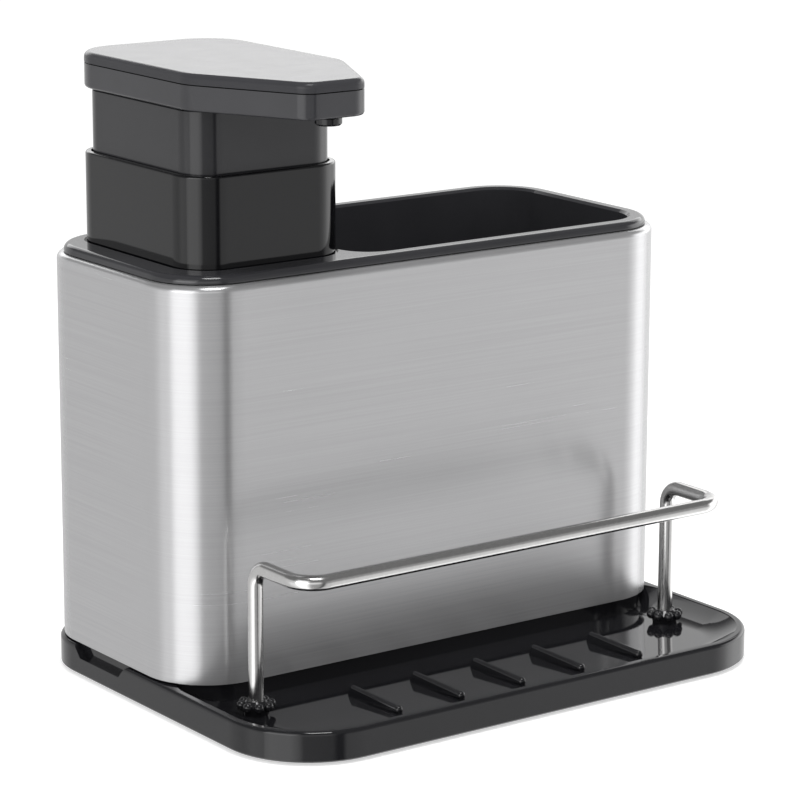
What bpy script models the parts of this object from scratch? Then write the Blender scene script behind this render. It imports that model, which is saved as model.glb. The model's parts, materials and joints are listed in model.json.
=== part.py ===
"""A kitchen soap dispenser with a sponge pocket and a railed tray, as separate pieces in metres.

The tray stands on the XY plane with +Z up and its front towards -Y. The steel housing lifts
off the tray, the pump lifts out of the housing and the press head slides down on the pump.
"""

import math

import bmesh
import bpy
from mathutils import Matrix, Vector

MM = 0.001

# Clearances
SEAT_GAP = 0.3 * MM
SLIDE_GAP = 0.6 * MM
BALL_GAP = 0.25 * MM
OVERRUN = 2 * MM
WELD = 0.001 * MM
LEAST_RADIUS = 0.3 * MM

# Facets
CORNER_STEPS = 7
TURN_STEPS = 18
BORE_STEPS = 10
BEND_STEPS = 5
FILLET_STEPS = 3
TUB_STEPS = 2
WIRE_RESOLUTION = 3
SPRING_RESOLUTION = 2

# Tray under everything: an open shelf in front of the housing and a margin round it
TRAY_WIDTH = 175 * MM
SHELF_DEPTH = 48.7 * MM
TRAY_BACK_MARGIN = 2.7 * MM
TRAY_SIDE_MARGIN = 1 * MM
TRAY_FRONT_CORNER = 26.5 * MM
TRAY_BACK_CORNER = 23 * MM
TRAY_BOTTOM = 0.9 * MM
TRAY_HEIGHT = 8.6 * MM
TRAY_EDGE = 1.2 * MM
TRAY_FOOT_EDGE = 0.5 * MM
TRAY_WALL = 2.4 * MM
TRAY_FLOOR = 2.1 * MM
LIP_DROP = 0.3 * MM
DISH_RUN = 14 * MM
DISH_FRONT_DEPTH = 2.5 * MM
DISH_BACK_DEPTH = 4.2 * MM
DISH_BACK_CORNER = 16 * MM
DISH_UNDER_PLINTH = 18 * MM
DISH_RUN_SHARES = (0.15, 0.35, 0.6, 1.0)

# Plinth that the housing sits over
PLINTH_INSET = 1.6 * MM
PLINTH_RISE = 3.2 * MM
PLINTH_WALL = 2.2 * MM
PLINTH_EDGE = 0.5 * MM
WEB_SPACING = 42 * MM
WEB_THICKNESS = 2 * MM
WEB_COUNT = 3

# Finger notch in the left rim of the tray
NOTCH_LENGTH = 28 * MM
NOTCH_RAMP = 3.5 * MM
NOTCH_DEPTH = 3.6 * MM
NOTCH_SHIFT = 5 * MM

# Drying ribs on the tray floor
RIB_COUNT = 5
RIB_SPACING = 21.2 * MM
RIB_FRONT_MARGIN = 10 * MM
RIB_BACK_MARGIN = 14.7 * MM
RIB_FRONT_RADIUS = 1.4 * MM
RIB_BACK_RADIUS = 2.1 * MM
RIB_DROP = 0.8 * MM
RIB_STEPS = 8
RIB_RINGS = 6

# Rubber feet
FOOT_RADIUS = 6 * MM
FOOT_HEIGHT = 2.4 * MM
FOOT_EDGE = 0.5 * MM
FOOT_BOSS_WALL = 1.5 * MM
FOOT_FRONT_SIDE = 29.5 * MM
FOOT_FRONT_MARGIN = 18 * MM
FOOT_BACK_SIDE = 16.5 * MM
FOOT_BACK_MARGIN = 19 * MM
BOSS_SUNK = 1 * MM

# Wire rail round the sponge space
WIRE_RADIUS = 2.15 * MM
RAIL_SIDE = 14.8 * MM
RAIL_BAR_MARGIN = 11.5 * MM
RAIL_RISE = 37.3 * MM
RAIL_BEND = 5.5 * MM
POST_BACK_GAP = 13.2 * MM
POST_PROUD = 0.3 * MM
POST_BOSS_RADIUS = 5 * MM
POST_BOSS_LIFT = 2.5 * MM
POST_CLEARANCE = 0.35 * MM
NUT_RADIUS = 5.6 * MM
NUT_THICKNESS = 0.7 * MM
NUT_CONE = 0.2 * MM

# Lobed ferrules where the posts meet the tray
FERRULE_NECK_RADIUS = 3.5 * MM
FERRULE_HEIGHT = 3.8 * MM
FERRULE_LIFT = 0.9 * MM
LOBE_COUNT = 8
LOBE_STEPS = 4
CROWN_RADIUS = 4.8 * MM
CROWN_VALLEY = 0.9 * MM
CROWN_HEIGHT = 2.8 * MM
CROWN_EDGE = 0.6 * MM

# Brushed steel housing
HOUSING_DEPTH = 80.6 * MM
HOUSING_CORNER = 20 * MM
HOUSING_HEIGHT = 111.8 * MM
STEEL = 0.8 * MM
STEEL_ROLL = 1.8 * MM
STEEL_FLANGE = 5 * MM
SHADOW_GAP = 0.6 * MM

# Moulded liner: rim, deck, soap well and sponge pocket
RIM_INSET = 2 * MM
RIM_HEIGHT = 2.2 * MM
RIM_EDGE = 1.9 * MM
RIM_LIP = 3.8 * MM
DECK_DROP = 0.7 * MM
DECK_THICKNESS = 3.2 * MM
LINER_WALL = 1.6 * MM
LINER_FLOOR = 1.8 * MM
POCKET_INSET = 7.2 * MM
WALL_LAP = 0.2 * MM
POCKET_LEFT_CORNER = 10 * MM
TUB_EDGE = 2 * MM
POCKET_MOUTH_EDGE = 0.8 * MM
DRAIN_RADIUS = 2.5 * MM
DRAIN_SPACING = 16 * MM
DRAIN_ROWS = 2
DRAIN_COLUMNS = 5

# Pump collar on the deck
COLLAR_WIDTH = 51.6 * MM
COLLAR_SIDE_MARGIN = 10.4 * MM
COLLAR_FRONT_MARGIN = 10.3 * MM
COLLAR_BACK_MARGIN = 5.9 * MM
DECK_SIDE_GAP = 0.8 * MM
COLLAR_CORNER = 11 * MM
COLLAR_HEIGHT = 26 * MM
COLLAR_WALL = 1.6 * MM
COLLAR_EDGE = 0.7 * MM
COLLAR_PLATE = 3 * MM
COLLAR_PLATE_RISE = 1.2 * MM
WELL_INSET = 2.4 * MM
SPIGOT_GAP = 0.5 * MM
SPIGOT_WALL = 2 * MM
SPIGOT_LENGTH = 11.8 * MM
GASKET_HEIGHT = 2.4 * MM
GASKET_GROOVE_DEPTH = 1.2 * MM
GASKET_DROP = 4 * MM
GASKET_EDGE = 0.3 * MM

# Pump barrel, cap and dip tube on the pump axis
BARREL_RADIUS = 11 * MM
BARREL_BORE = 9 * MM
BARREL_FLANGE = 15 * MM
BARREL_FLANGE_HEIGHT = 2 * MM
BARREL_HEADROOM = 7.3 * MM
BARREL_FLOOR = 2 * MM
CAGE_RADIUS = 4.2 * MM
CAGE_HEIGHT = 8 * MM
SEAT_RADIUS = 2 * MM
NECK_RADIUS = 5.5 * MM
NECK_THROAT = 3.3 * MM
NECK_SOCKET = 10.5 * MM
NECK_CONE = 5 * MM
DIP_RADIUS = 3 * MM
DIP_BORE = 2 * MM
DIP_OFF_FLOOR = 3 * MM
CAP_RADIUS = 17.5 * MM
CAP_HEIGHT = 7.7 * MM
CAP_EDGE = 0.8 * MM
RETAINER_HEIGHT = 2 * MM
RETAINER_BORE = 2.3 * MM
INLET_BALL = 3 * MM
BALL_RINGS = 7
BALL_STEPS = 12

# Piston, stem and spring
STROKE = 14 * MM
PISTON_ROOM = 2 * MM
STEM_RADIUS = 4 * MM
STEM_BORE = 2.2 * MM
STEM_RISE = 1.4 * MM
PISTON_RADIUS = 8.4 * MM
PISTON_SKIRT = 8 * MM
PISTON_HEIGHT = 16 * MM
PISTON_HUB = 5.8 * MM
PISTON_INLET = 1.6 * MM
PISTON_INLET_DEPTH = 2 * MM
PISTON_CHAMBER = 3.2 * MM
PISTON_CHAMBER_TOP = 9.5 * MM
OUTLET_BALL = 2.4 * MM
SEAL_RADIUS = 8.75 * MM
SEAL_INNER = 7.5 * MM
SEAL_HEIGHT = 2 * MM
SEAL_LIFT = 3.3 * MM
SPRING_RADIUS = 8 * MM
SPRING_WIRE = 0.6 * MM
SPRING_TURNS = 7
SPRING_STEPS = 8

# Press head
HEAD_SIDE_OVERHANG = 0.1 * MM
HEAD_BACK_OVERHANG = 1.8 * MM
HEAD_TAPER_SETBACK = 3.2 * MM
HEAD_NOSE_LENGTH = 30.8 * MM
PRESS_ROOM = 4 * MM
HEAD_NOSE_WIDTH = 18.4 * MM
HEAD_BACK_CORNER = 14 * MM
HEAD_TAPER_CORNER = 14 * MM
HEAD_NOSE_CORNER = 6.2 * MM
HEAD_BODY_HEIGHT = 6.9 * MM
HEAD_COVER_HEIGHT = 2.9 * MM
HEAD_WALL = 1.6 * MM
HEAD_EDGE = 0.9 * MM
COVER_EDGE = 1 * MM
COVER_PLATE = 1.6 * MM
COVER_TONGUE = 1.2 * MM
COVER_TONGUE_WIDTH = 1 * MM
SKIRT_INSET = 2.2 * MM
SKIRT_WALL = 1.6 * MM
SKIRT_PLATE = 2.5 * MM
SKIRT_ROOM = 1.8 * MM
SKIRT_EDGE = 0.6 * MM

# Soap channel inside the press head
CONNECTOR_RADIUS = 6.2 * MM
CONNECTOR_HEIGHT = 5.2 * MM
CONNECTOR_CHAMBER = 3 * MM
CONNECTOR_ROOF = 1 * MM
CHANNEL_RADIUS = 2.3 * MM
CHANNEL_BORE = 1.4 * MM
CHANNEL_LIFT = 3.1 * MM
NOZZLE_RADIUS = 3.7 * MM
NOZZLE_BORE = 1.4 * MM
NOZZLE_PORT = 0.9 * MM
NOZZLE_INSET = 4.5 * MM
NOZZLE_DROP = 2.2 * MM
NOZZLE_EDGE = 0.5 * MM
NOZZLE_SPIGOT = 2.4 * MM

# Plan sizes and places that follow from these
TRAY_DEPTH = SHELF_DEPTH + HOUSING_DEPTH + TRAY_BACK_MARGIN
TRAY_FRONT = -TRAY_DEPTH / 2
HOUSING_WIDTH = TRAY_WIDTH - 2 * TRAY_SIDE_MARGIN
HOUSING_FRONT = TRAY_FRONT + SHELF_DEPTH
HOUSING_Y = HOUSING_FRONT + HOUSING_DEPTH / 2
FOOT_FRONT = (TRAY_WIDTH / 2 - FOOT_FRONT_SIDE, TRAY_FRONT + FOOT_FRONT_MARGIN)
FOOT_BACK = (TRAY_WIDTH / 2 - FOOT_BACK_SIDE, TRAY_DEPTH / 2 - FOOT_BACK_MARGIN)
RAIL_HALF_WIDTH = TRAY_WIDTH / 2 - RAIL_SIDE
RAIL_BAR_Y = TRAY_FRONT + RAIL_BAR_MARGIN
RAIL_POST_Y = HOUSING_FRONT - POST_BACK_GAP
COLLAR_DEPTH = HOUSING_DEPTH - COLLAR_FRONT_MARGIN - COLLAR_BACK_MARGIN
PUMP_X = COLLAR_SIDE_MARGIN + COLLAR_WIDTH / 2 - HOUSING_WIDTH / 2
PUMP_Y = HOUSING_FRONT + COLLAR_FRONT_MARGIN + COLLAR_DEPTH / 2
DECK_RIGHT = PUMP_X + COLLAR_WIDTH / 2 + DECK_SIDE_GAP
POCKET_LEFT = PUMP_X + COLLAR_WIDTH / 2 - WELL_INSET + 2 * LINER_WALL - WALL_LAP
POCKET_RIGHT = HOUSING_WIDTH / 2 - POCKET_INSET
HEAD_WIDTH = COLLAR_WIDTH + 2 * HEAD_SIDE_OVERHANG
HEAD_BACK = COLLAR_DEPTH / 2 + HEAD_BACK_OVERHANG
HEAD_TAPER = COLLAR_DEPTH / 2 - HEAD_TAPER_SETBACK
HEAD_NOSE = COLLAR_DEPTH / 2 + HEAD_NOSE_LENGTH
NOZZLE_Y = PUMP_Y - HEAD_NOSE + NOZZLE_INSET

# Heights that follow from them, from the ground up
TRAY_TOP = TRAY_BOTTOM + TRAY_HEIGHT
RIB_TOP = TRAY_TOP - RIB_DROP
RAIL_HEIGHT = TRAY_TOP + RAIL_RISE
POST_BOSS_BOTTOM = TRAY_BOTTOM + POST_BOSS_LIFT
NUT_TOP = POST_BOSS_BOTTOM - SEAT_GAP
NUT_BOTTOM = NUT_TOP - NUT_THICKNESS - NUT_CONE
RAIL_FOOT = NUT_BOTTOM - POST_PROUD
PLINTH_TOP = TRAY_TOP + PLINTH_RISE
HOUSING_BOTTOM = TRAY_TOP + SHADOW_GAP
HOUSING_TOP = HOUSING_BOTTOM + HOUSING_HEIGHT
RIM_BOTTOM = HOUSING_TOP + SEAT_GAP
RIM_TOP = RIM_BOTTOM + RIM_HEIGHT
DECK_TOP = RIM_TOP - DECK_DROP
LINER_BOTTOM = PLINTH_TOP + SEAT_GAP
WELL_FLOOR = LINER_BOTTOM + LINER_FLOOR
COLLAR_BOTTOM = DECK_TOP + SEAT_GAP
COLLAR_TOP = COLLAR_BOTTOM + COLLAR_HEIGHT
PLATE_TOP = COLLAR_BOTTOM + COLLAR_PLATE_RISE
FLANGE_BOTTOM = PLATE_TOP + SEAT_GAP
BARREL_TOP = FLANGE_BOTTOM + BARREL_FLANGE_HEIGHT
PISTON_LIFT = STROKE + PISTON_ROOM
CAGE_TOP = BARREL_TOP - BARREL_HEADROOM - PISTON_HEIGHT - PISTON_LIFT
CAGE_BOTTOM = CAGE_TOP - CAGE_HEIGHT
SEAT_LOW = CAGE_BOTTOM - (CAGE_RADIUS - SEAT_RADIUS)
SOCKET_TOP = SEAT_LOW - (NECK_THROAT - SEAT_RADIUS)
CAP_TOP = FLANGE_BOTTOM + CAP_HEIGHT
PISTON_BOTTOM = CAGE_TOP + PISTON_LIFT
PISTON_SEAT = PISTON_BOTTOM + PISTON_INLET_DEPTH
CHAMBER_TOP = PISTON_BOTTOM + PISTON_CHAMBER_TOP
HEAD_BOTTOM = COLLAR_TOP + STROKE + PRESS_ROOM
SKIRT_BOTTOM = PLATE_TOP + STROKE + SKIRT_ROOM
SKIRT_TOP = HEAD_BOTTOM - SEAT_GAP
HEAD_FLOOR_TOP = HEAD_BOTTOM + HEAD_WALL
SEAM = HEAD_BOTTOM + HEAD_BODY_HEIGHT
COVER_BOTTOM = SEAM + SEAT_GAP
COVER_TOP = COVER_BOTTOM + HEAD_COVER_HEIGHT
CHANNEL_Z = HEAD_FLOOR_TOP + CHANNEL_LIFT
STEM_TOP = HEAD_FLOOR_TOP + STEM_RISE

EDGE_ANGLE = math.radians(60)
SMOOTH_ANGLE = math.radians(30)
FLAT_ANGLE = math.radians(1)
PUMP_AXIS = (PUMP_X, PUMP_Y)
HOUSING_CENTRE = (0, HOUSING_Y)

# Colour, metallic and roughness
GLOSS_BLACK = ((0.012, 0.012, 0.013, 1), 0, 0.12)
LINER_BLACK = ((0.012, 0.012, 0.013, 1), 0, 0.18)
PUMP_BLACK = ((0.03, 0.03, 0.033, 1), 0, 0.25)
COVER_BLACK = ((0.03, 0.03, 0.033, 1), 0, 0.18)
BRUSHED_STEEL = ((0.6, 0.6, 0.6, 1), 1, 0.3)
BRIGHT_STEEL = ((0.65, 0.65, 0.65, 1), 1, 0.15)
PLAIN_WHITE = ((0.8, 0.8, 0.78, 1), 0, 0.35)
RUBBER = ((0.03, 0.03, 0.03, 1), 0, 0.75)


def start_scene():
    for item in list(bpy.data.objects):
        bpy.data.objects.remove(item, do_unlink=True)
    product = bpy.data.collections.new("SoapDispenser")
    cutters = bpy.data.collections.new("Cutters")
    cutters.hide_render = True
    for group in (product, cutters):
        bpy.context.scene.collection.children.link(group)
    return product, cutters


PRODUCT, CUTTERS = start_scene()


# Objects and modifiers


def add_material(data, name, look):
    colour, metallic, roughness = look
    material = bpy.data.materials.new(name)
    material.use_nodes = True
    shader = material.node_tree.nodes["Principled BSDF"]
    shader.inputs["Base Color"].default_value = colour
    shader.inputs["Metallic"].default_value = metallic
    shader.inputs["Roughness"].default_value = roughness
    material.diffuse_color = colour
    data.materials.append(material)


def add_object(name, data, look=None):
    """Links data as a piece of the product, or as a cutter when it has no look."""
    item = bpy.data.objects.new(name, data)
    if look:
        PRODUCT.objects.link(item)
        add_material(data, name, look)
    else:
        CUTTERS.objects.link(item)
        item.hide_render = True
        item.display_type = "WIRE"
    return item


def finish_mesh(shape, name):
    mesh = bpy.data.meshes.new(name)
    shape.to_mesh(mesh)
    shape.free()
    mesh.shade_smooth()
    mesh.set_sharp_from_angle(angle=SMOOTH_ANGLE)
    return mesh


def combine(item, other, operation):
    step = item.modifiers.new(f"{operation.title()} {other.name}", "BOOLEAN")
    step.operation = operation
    step.solver = "EXACT"
    step.object = other


def cut(item, *cutters):
    for cutter in cutters:
        combine(item, cutter, "DIFFERENCE")


def add(item, *extras):
    for extra in extras:
        combine(item, extra, "UNION")


def bevel(item, width, steps):
    step = item.modifiers.new("Rounded edge", "BEVEL")
    step.width = width
    step.segments = steps
    return step


def round_corners_over(item, width, steps=FILLET_STEPS):
    """Rounds every edge where a wall meets a flat end."""
    step = bevel(item, width, steps)
    step.limit_method = "ANGLE"
    step.angle_limit = EDGE_ANGLE


def round_edge_at(item, height, width, steps=FILLET_STEPS):
    """Rounds only the edge that runs level round a slab at a height."""
    group = item.vertex_groups.new(name="Edge")
    chosen = []
    for vertex in item.data.vertices:
        if abs(vertex.co.z + item.location.z - height) < WELD:
            chosen.append(vertex.index)
    group.add(chosen, 1, "REPLACE")
    step = bevel(item, width, steps)
    step.limit_method = "VGROUP"
    step.vertex_group = group.name


def solidify(item, thickness):
    """Thickens an open surface inwards."""
    step = item.modifiers.new("Wall", "SOLIDIFY")
    step.thickness = thickness
    step.offset = -1
    step.use_even_offset = True
    step.use_quality_normals = True


# Outlines and slabs


def box_corners(width, depth):
    """The four corners of a rectangle about the origin, anticlockwise from the front left."""
    x, y = width / 2, depth / 2
    return [(-x, -y), (x, -y), (x, y), (-x, y)]


def rounded_outline(corners, radii, inset=0.0):
    """Points round a convex outline with rounded corners, moved inwards by inset."""
    points = []
    for index, corner in enumerate(corners):
        here = Vector(corner)
        before = (Vector(corners[index - 1]) - here).normalized()
        after = (Vector(corners[(index + 1) % len(corners)]) - here).normalized()
        half_angle = before.angle(after) / 2
        inwards = (before + after).normalized()
        radius = max(radii[index] - inset, LEAST_RADIUS)
        centre = here + inwards * ((inset + radius) / math.sin(half_angle))
        sweep = math.pi - 2 * half_angle
        start = math.atan2(-inwards.y, -inwards.x) - sweep / 2
        for step in range(CORNER_STEPS):
            angle = start + sweep * step / (CORNER_STEPS - 1)
            points.append((centre.x + radius * math.cos(angle), centre.y + radius * math.sin(angle)))
    return points


def rounded_box(width, depth, corner, inset=0.0):
    return rounded_outline(box_corners(width, depth), [corner] * 4, inset)


def flat_curve(name, outline, thickness):
    """A filled 2D curve through an outline, extruded to a thickness."""
    curve = bpy.data.curves.new(name, "CURVE")
    curve.dimensions = "2D"
    curve.fill_mode = "BOTH"
    curve.extrude = thickness / 2
    spline = curve.splines.new("POLY")
    spline.points.add(len(outline) - 1)
    for point, (x, y) in zip(spline.points, outline):
        point.co = (x, y, 0, 1)
    spline.use_cyclic_u = True
    return curve


def slab(name, outline, centre, bottom, top, look=None):
    """An outline extruded between two heights, made a mesh so that it can be cut or joined."""
    guide_name = f"outline_{name}"
    guide = bpy.data.objects.new(guide_name, flat_curve(guide_name, outline, top - bottom))
    guide.location = (*centre, (bottom + top) / 2)
    CUTTERS.objects.link(guide)
    bpy.context.view_layer.update()
    graph = bpy.context.evaluated_depsgraph_get()
    mesh = bpy.data.meshes.new_from_object(guide.evaluated_get(graph))
    shape = bmesh.new()
    shape.from_mesh(mesh)
    bmesh.ops.remove_doubles(shape, verts=shape.verts, dist=WELD)
    bmesh.ops.dissolve_limit(
        shape,
        angle_limit=FLAT_ANGLE,
        use_dissolve_boundaries=False,
        verts=shape.verts,
        edges=shape.edges,
        delimit=set(),
    )
    bmesh.ops.recalc_face_normals(shape, faces=shape.faces)
    item = add_object(name, finish_mesh(shape, name), look)
    item.matrix_world = guide.matrix_world
    curve = guide.data
    bpy.data.objects.remove(guide)
    bpy.data.curves.remove(curve)
    bpy.data.meshes.remove(mesh)
    return item


def end_face(shape, direction):
    """The flat face at a slab's top (1) or bottom (-1)."""
    return max(shape.faces, key=lambda face: face.normal.z * direction)


def open_end(item, direction, flange=0.0):
    """Takes a slab's end away, all but a flange of the given width."""
    shape = bmesh.new()
    shape.from_mesh(item.data)
    end = end_face(shape, direction)
    if flange:
        bmesh.ops.inset_region(shape, faces=[end], thickness=flange, use_even_offset=True)
    bmesh.ops.delete(shape, geom=[end], context="FACES_ONLY")
    shape.to_mesh(item.data)
    shape.free()


# Primitives, turned shapes and wires


def rod(name, radius, centre, bottom, top, steps=BORE_STEPS):
    shape = bmesh.new()
    bmesh.ops.create_cone(
        shape,
        cap_ends=True,
        segments=steps,
        radius1=radius,
        radius2=radius,
        depth=top - bottom,
    )
    item = add_object(name, finish_mesh(shape, name))
    item.location = (*centre, (bottom + top) / 2)
    return item


def rod_along_y(name, radius, x, z, front, back):
    item = rod(name, radius, (0, 0), front, back)
    item.location = (x, (front + back) / 2, z)
    item.rotation_euler.x = math.pi / 2
    return item


def block(name, low, high):
    size = Vector(high) - Vector(low)
    shape = bmesh.new()
    bmesh.ops.create_cube(shape, size=1, matrix=Matrix.Diagonal((*size, 1)))
    item = add_object(name, finish_mesh(shape, name))
    item.location = (Vector(low) + Vector(high)) / 2
    return item


def ball(name, radius, place, steps, rings, look=None):
    shape = bmesh.new()
    bmesh.ops.create_uvsphere(shape, u_segments=steps, v_segments=rings, radius=radius)
    item = add_object(name, finish_mesh(shape, name), look)
    item.location = place
    return item


def turned(name, profile, centre, look=None, ring=False, steps=TURN_STEPS):
    """Turns (radius, height) points about an upright axis, given down the outer side.

    A ring's profile goes on up its inner side and closes on itself.
    """
    shape = bmesh.new()
    points = [shape.verts.new((radius, 0, height)) for radius, height in profile]
    for above, below in zip(points, points[1:]):
        shape.edges.new((above, below))
    if ring:
        shape.edges.new((points[-1], points[0]))
    mesh = bpy.data.meshes.new(name)
    shape.to_mesh(mesh)
    shape.free()
    item = add_object(name, mesh, look)
    item.location = (*centre, 0)
    turn = item.modifiers.new("Turn", "SCREW")
    turn.angle = 2 * math.pi
    turn.steps = steps
    turn.render_steps = steps
    turn.use_merge_vertices = True
    turn.merge_threshold = WELD
    turn.use_smooth_shade = True
    return item


def tube(name, profile, centre, look, steps=BORE_STEPS):
    return turned(name, profile, centre, look, ring=True, steps=steps)


def rounded_path(corners, bend):
    """Points along straight runs, with an arc of one radius at each corner between them."""
    points = [Vector(corners[0])]
    for index in range(1, len(corners) - 1):
        here = Vector(corners[index])
        before = (Vector(corners[index - 1]) - here).normalized()
        after = (Vector(corners[index + 1]) - here).normalized()
        half_angle = before.angle(after) / 2
        centre = here + (before + after).normalized() * (bend / math.sin(half_angle))
        start = here + before * (bend / math.tan(half_angle)) - centre
        end = here + after * (bend / math.tan(half_angle)) - centre
        for step in range(BEND_STEPS + 1):
            points.append(centre + start.slerp(end, step / BEND_STEPS).normalized() * bend)
    points.append(Vector(corners[-1]))
    return points


def wire(name, points, radius, resolution, look):
    """A round wire along points."""
    curve = bpy.data.curves.new(name, "CURVE")
    curve.dimensions = "3D"
    curve.bevel_depth = radius
    curve.bevel_resolution = resolution
    curve.use_fill_caps = True
    spline = curve.splines.new("POLY")
    spline.points.add(len(points) - 1)
    for point, place in zip(spline.points, points):
        point.co = (*place, 1)
    spline.use_smooth = True
    return add_object(name, curve, look)


def add_empty(name, location):
    empty = bpy.data.objects.new(name, None)
    empty.location = location
    empty.empty_display_size = TRAY_EDGE
    PRODUCT.objects.link(empty)
    return empty


# Tray


def dish_outline(inset):
    """The dished floor's outline, from inside the front lip to well under the plinth."""
    half_width = TRAY_WIDTH / 2 - TRAY_WALL
    front = TRAY_FRONT + TRAY_WALL
    back = HOUSING_FRONT + PLINTH_INSET + DISH_UNDER_PLINTH
    corners = [(-half_width, front), (half_width, front), (half_width, back), (-half_width, back)]
    front_corner = TRAY_FRONT_CORNER - TRAY_WALL
    radii = [front_corner, front_corner, DISH_BACK_CORNER, DISH_BACK_CORNER]
    return rounded_outline(corners, radii, inset)


def dish_floor_depth(y):
    """How far the flat of the dish lies under the lip: it falls evenly towards the housing."""
    front = TRAY_FRONT + TRAY_WALL + DISH_RUN
    back = HOUSING_FRONT + PLINTH_INSET
    return DISH_FRONT_DEPTH + (DISH_BACK_DEPTH - DISH_FRONT_DEPTH) * (y - front) / (back - front)


def dish_loft(name, mouth_height, lowered):
    """The dish as a solid, lofted from its mouth through narrower rings down to a sloping floor."""
    rings = [[(x, y, mouth_height) for x, y in dish_outline(0)]]
    for share in (0.0,) + DISH_RUN_SHARES:
        fall = 1 - (1 - share) ** 2
        ring = []
        for x, y in dish_outline(DISH_RUN * share):
            ring.append((x, y, TRAY_TOP - LIP_DROP - lowered - fall * dish_floor_depth(y)))
        rings.append(ring)
    shape = bmesh.new()
    rows = [[shape.verts.new(point) for point in ring] for ring in rings]
    edges = []
    for row in rows:
        loop = zip(row, row[1:] + row[:1])
        edges.append([shape.edges.new(pair) for pair in loop])
    for above, below in zip(edges, edges[1:]):
        bmesh.ops.bridge_loops(shape, edges=above + below)
    shape.faces.new(rows[0])
    shape.faces.new(rows[-1])
    bmesh.ops.recalc_face_normals(shape, faces=shape.faces)
    return add_object(name, finish_mesh(shape, name))


def plinth(name, inset, bottom, top):
    outline = rounded_box(HOUSING_WIDTH, HOUSING_DEPTH, HOUSING_CORNER, PLINTH_INSET + inset)
    item = slab(name, outline, HOUSING_CENTRE, bottom, top)
    round_edge_at(item, top, PLINTH_EDGE, 1)
    return item


def rib(index):
    """A drying rib: the hull of a small ball at the front and a larger one at the back."""
    x = (index - (RIB_COUNT - 1) / 2) * RIB_SPACING
    front = TRAY_FRONT + RIB_FRONT_MARGIN + RIB_FRONT_RADIUS
    back = HOUSING_FRONT - RIB_BACK_MARGIN - RIB_BACK_RADIUS
    shape = bmesh.new()
    for radius, y in ((RIB_FRONT_RADIUS, front), (RIB_BACK_RADIUS, back)):
        place = Matrix.Translation((x, y, RIB_TOP - radius))
        sizes = {"u_segments": RIB_STEPS, "v_segments": RIB_RINGS, "radius": radius}
        bmesh.ops.create_uvsphere(shape, matrix=place, **sizes)
    bmesh.ops.delete(shape, geom=shape.edges, context="EDGES_FACES")
    bmesh.ops.convex_hull(shape, input=shape.verts)
    loose = [vertex for vertex in shape.verts if not vertex.link_faces]
    bmesh.ops.delete(shape, geom=loose, context="VERTS")
    bmesh.ops.recalc_face_normals(shape, faces=shape.faces)
    name = f"extra_rib_{index + 1}"
    return add_object(name, finish_mesh(shape, name))


def notch_cutter():
    """A finger notch with ramped ends, cut down into the left rim."""
    outer = -TRAY_WIDTH / 2 - OVERRUN
    inner = -HOUSING_WIDTH / 2 + PLINTH_INSET - SEAT_GAP
    bottom = TRAY_TOP - NOTCH_DEPTH
    low_half = NOTCH_LENGTH / 2 - NOTCH_RAMP
    centre = HOUSING_Y + NOTCH_SHIFT
    low = (outer, centre - low_half, bottom)
    high = (inner, centre + low_half, TRAY_TOP + OVERRUN)
    item = block("cutter_notch", low, high)
    spread = NOTCH_RAMP * (NOTCH_DEPTH + OVERRUN) / NOTCH_DEPTH
    for vertex in item.data.vertices:
        if vertex.co.z > 0:
            vertex.co.y += math.copysign(spread, vertex.co.y)
    return item


def foot_places():
    return [(side * x, y) for side in (-1, 1) for x, y in (FOOT_FRONT, FOOT_BACK)]


def post_places():
    return [(side * RAIL_HALF_WIDTH, RAIL_POST_Y) for side in (-1, 1)]


def floor_height(y):
    return TRAY_TOP - LIP_DROP - dish_floor_depth(y)


def tray_bosses():
    """Bosses under the floor that hold the feet and the rail's posts."""
    bosses = []
    for index, place in enumerate(foot_places()):
        top = PLINTH_TOP if place[1] > HOUSING_Y else floor_height(place[1])
        name = f"extra_foot_boss_{index + 1}"
        bottom = FOOT_HEIGHT + SEAT_GAP
        bosses.append(rod(name, FOOT_RADIUS + FOOT_BOSS_WALL, place, bottom, top - BOSS_SUNK, TURN_STEPS))
    for index, place in enumerate(post_places()):
        top = floor_height(place[1]) - BOSS_SUNK
        bosses.append(rod(f"extra_post_boss_{index + 1}", POST_BOSS_RADIUS, place, POST_BOSS_BOTTOM, top))
    return bosses


def tray_webs():
    """Stiffening webs under the plinth, running front to back."""
    webs = []
    reach = HOUSING_DEPTH / 2 - PLINTH_INSET - PLINTH_WALL / 2
    for index in range(WEB_COUNT):
        x = (index - (WEB_COUNT - 1) / 2) * WEB_SPACING
        low = (x - WEB_THICKNESS / 2, HOUSING_Y - reach, TRAY_BOTTOM + TRAY_FLOOR)
        high = (x + WEB_THICKNESS / 2, HOUSING_Y + reach, PLINTH_TOP - PLINTH_WALL / 2)
        webs.append(block(f"extra_web_{index + 1}", low, high))
    return webs


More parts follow.
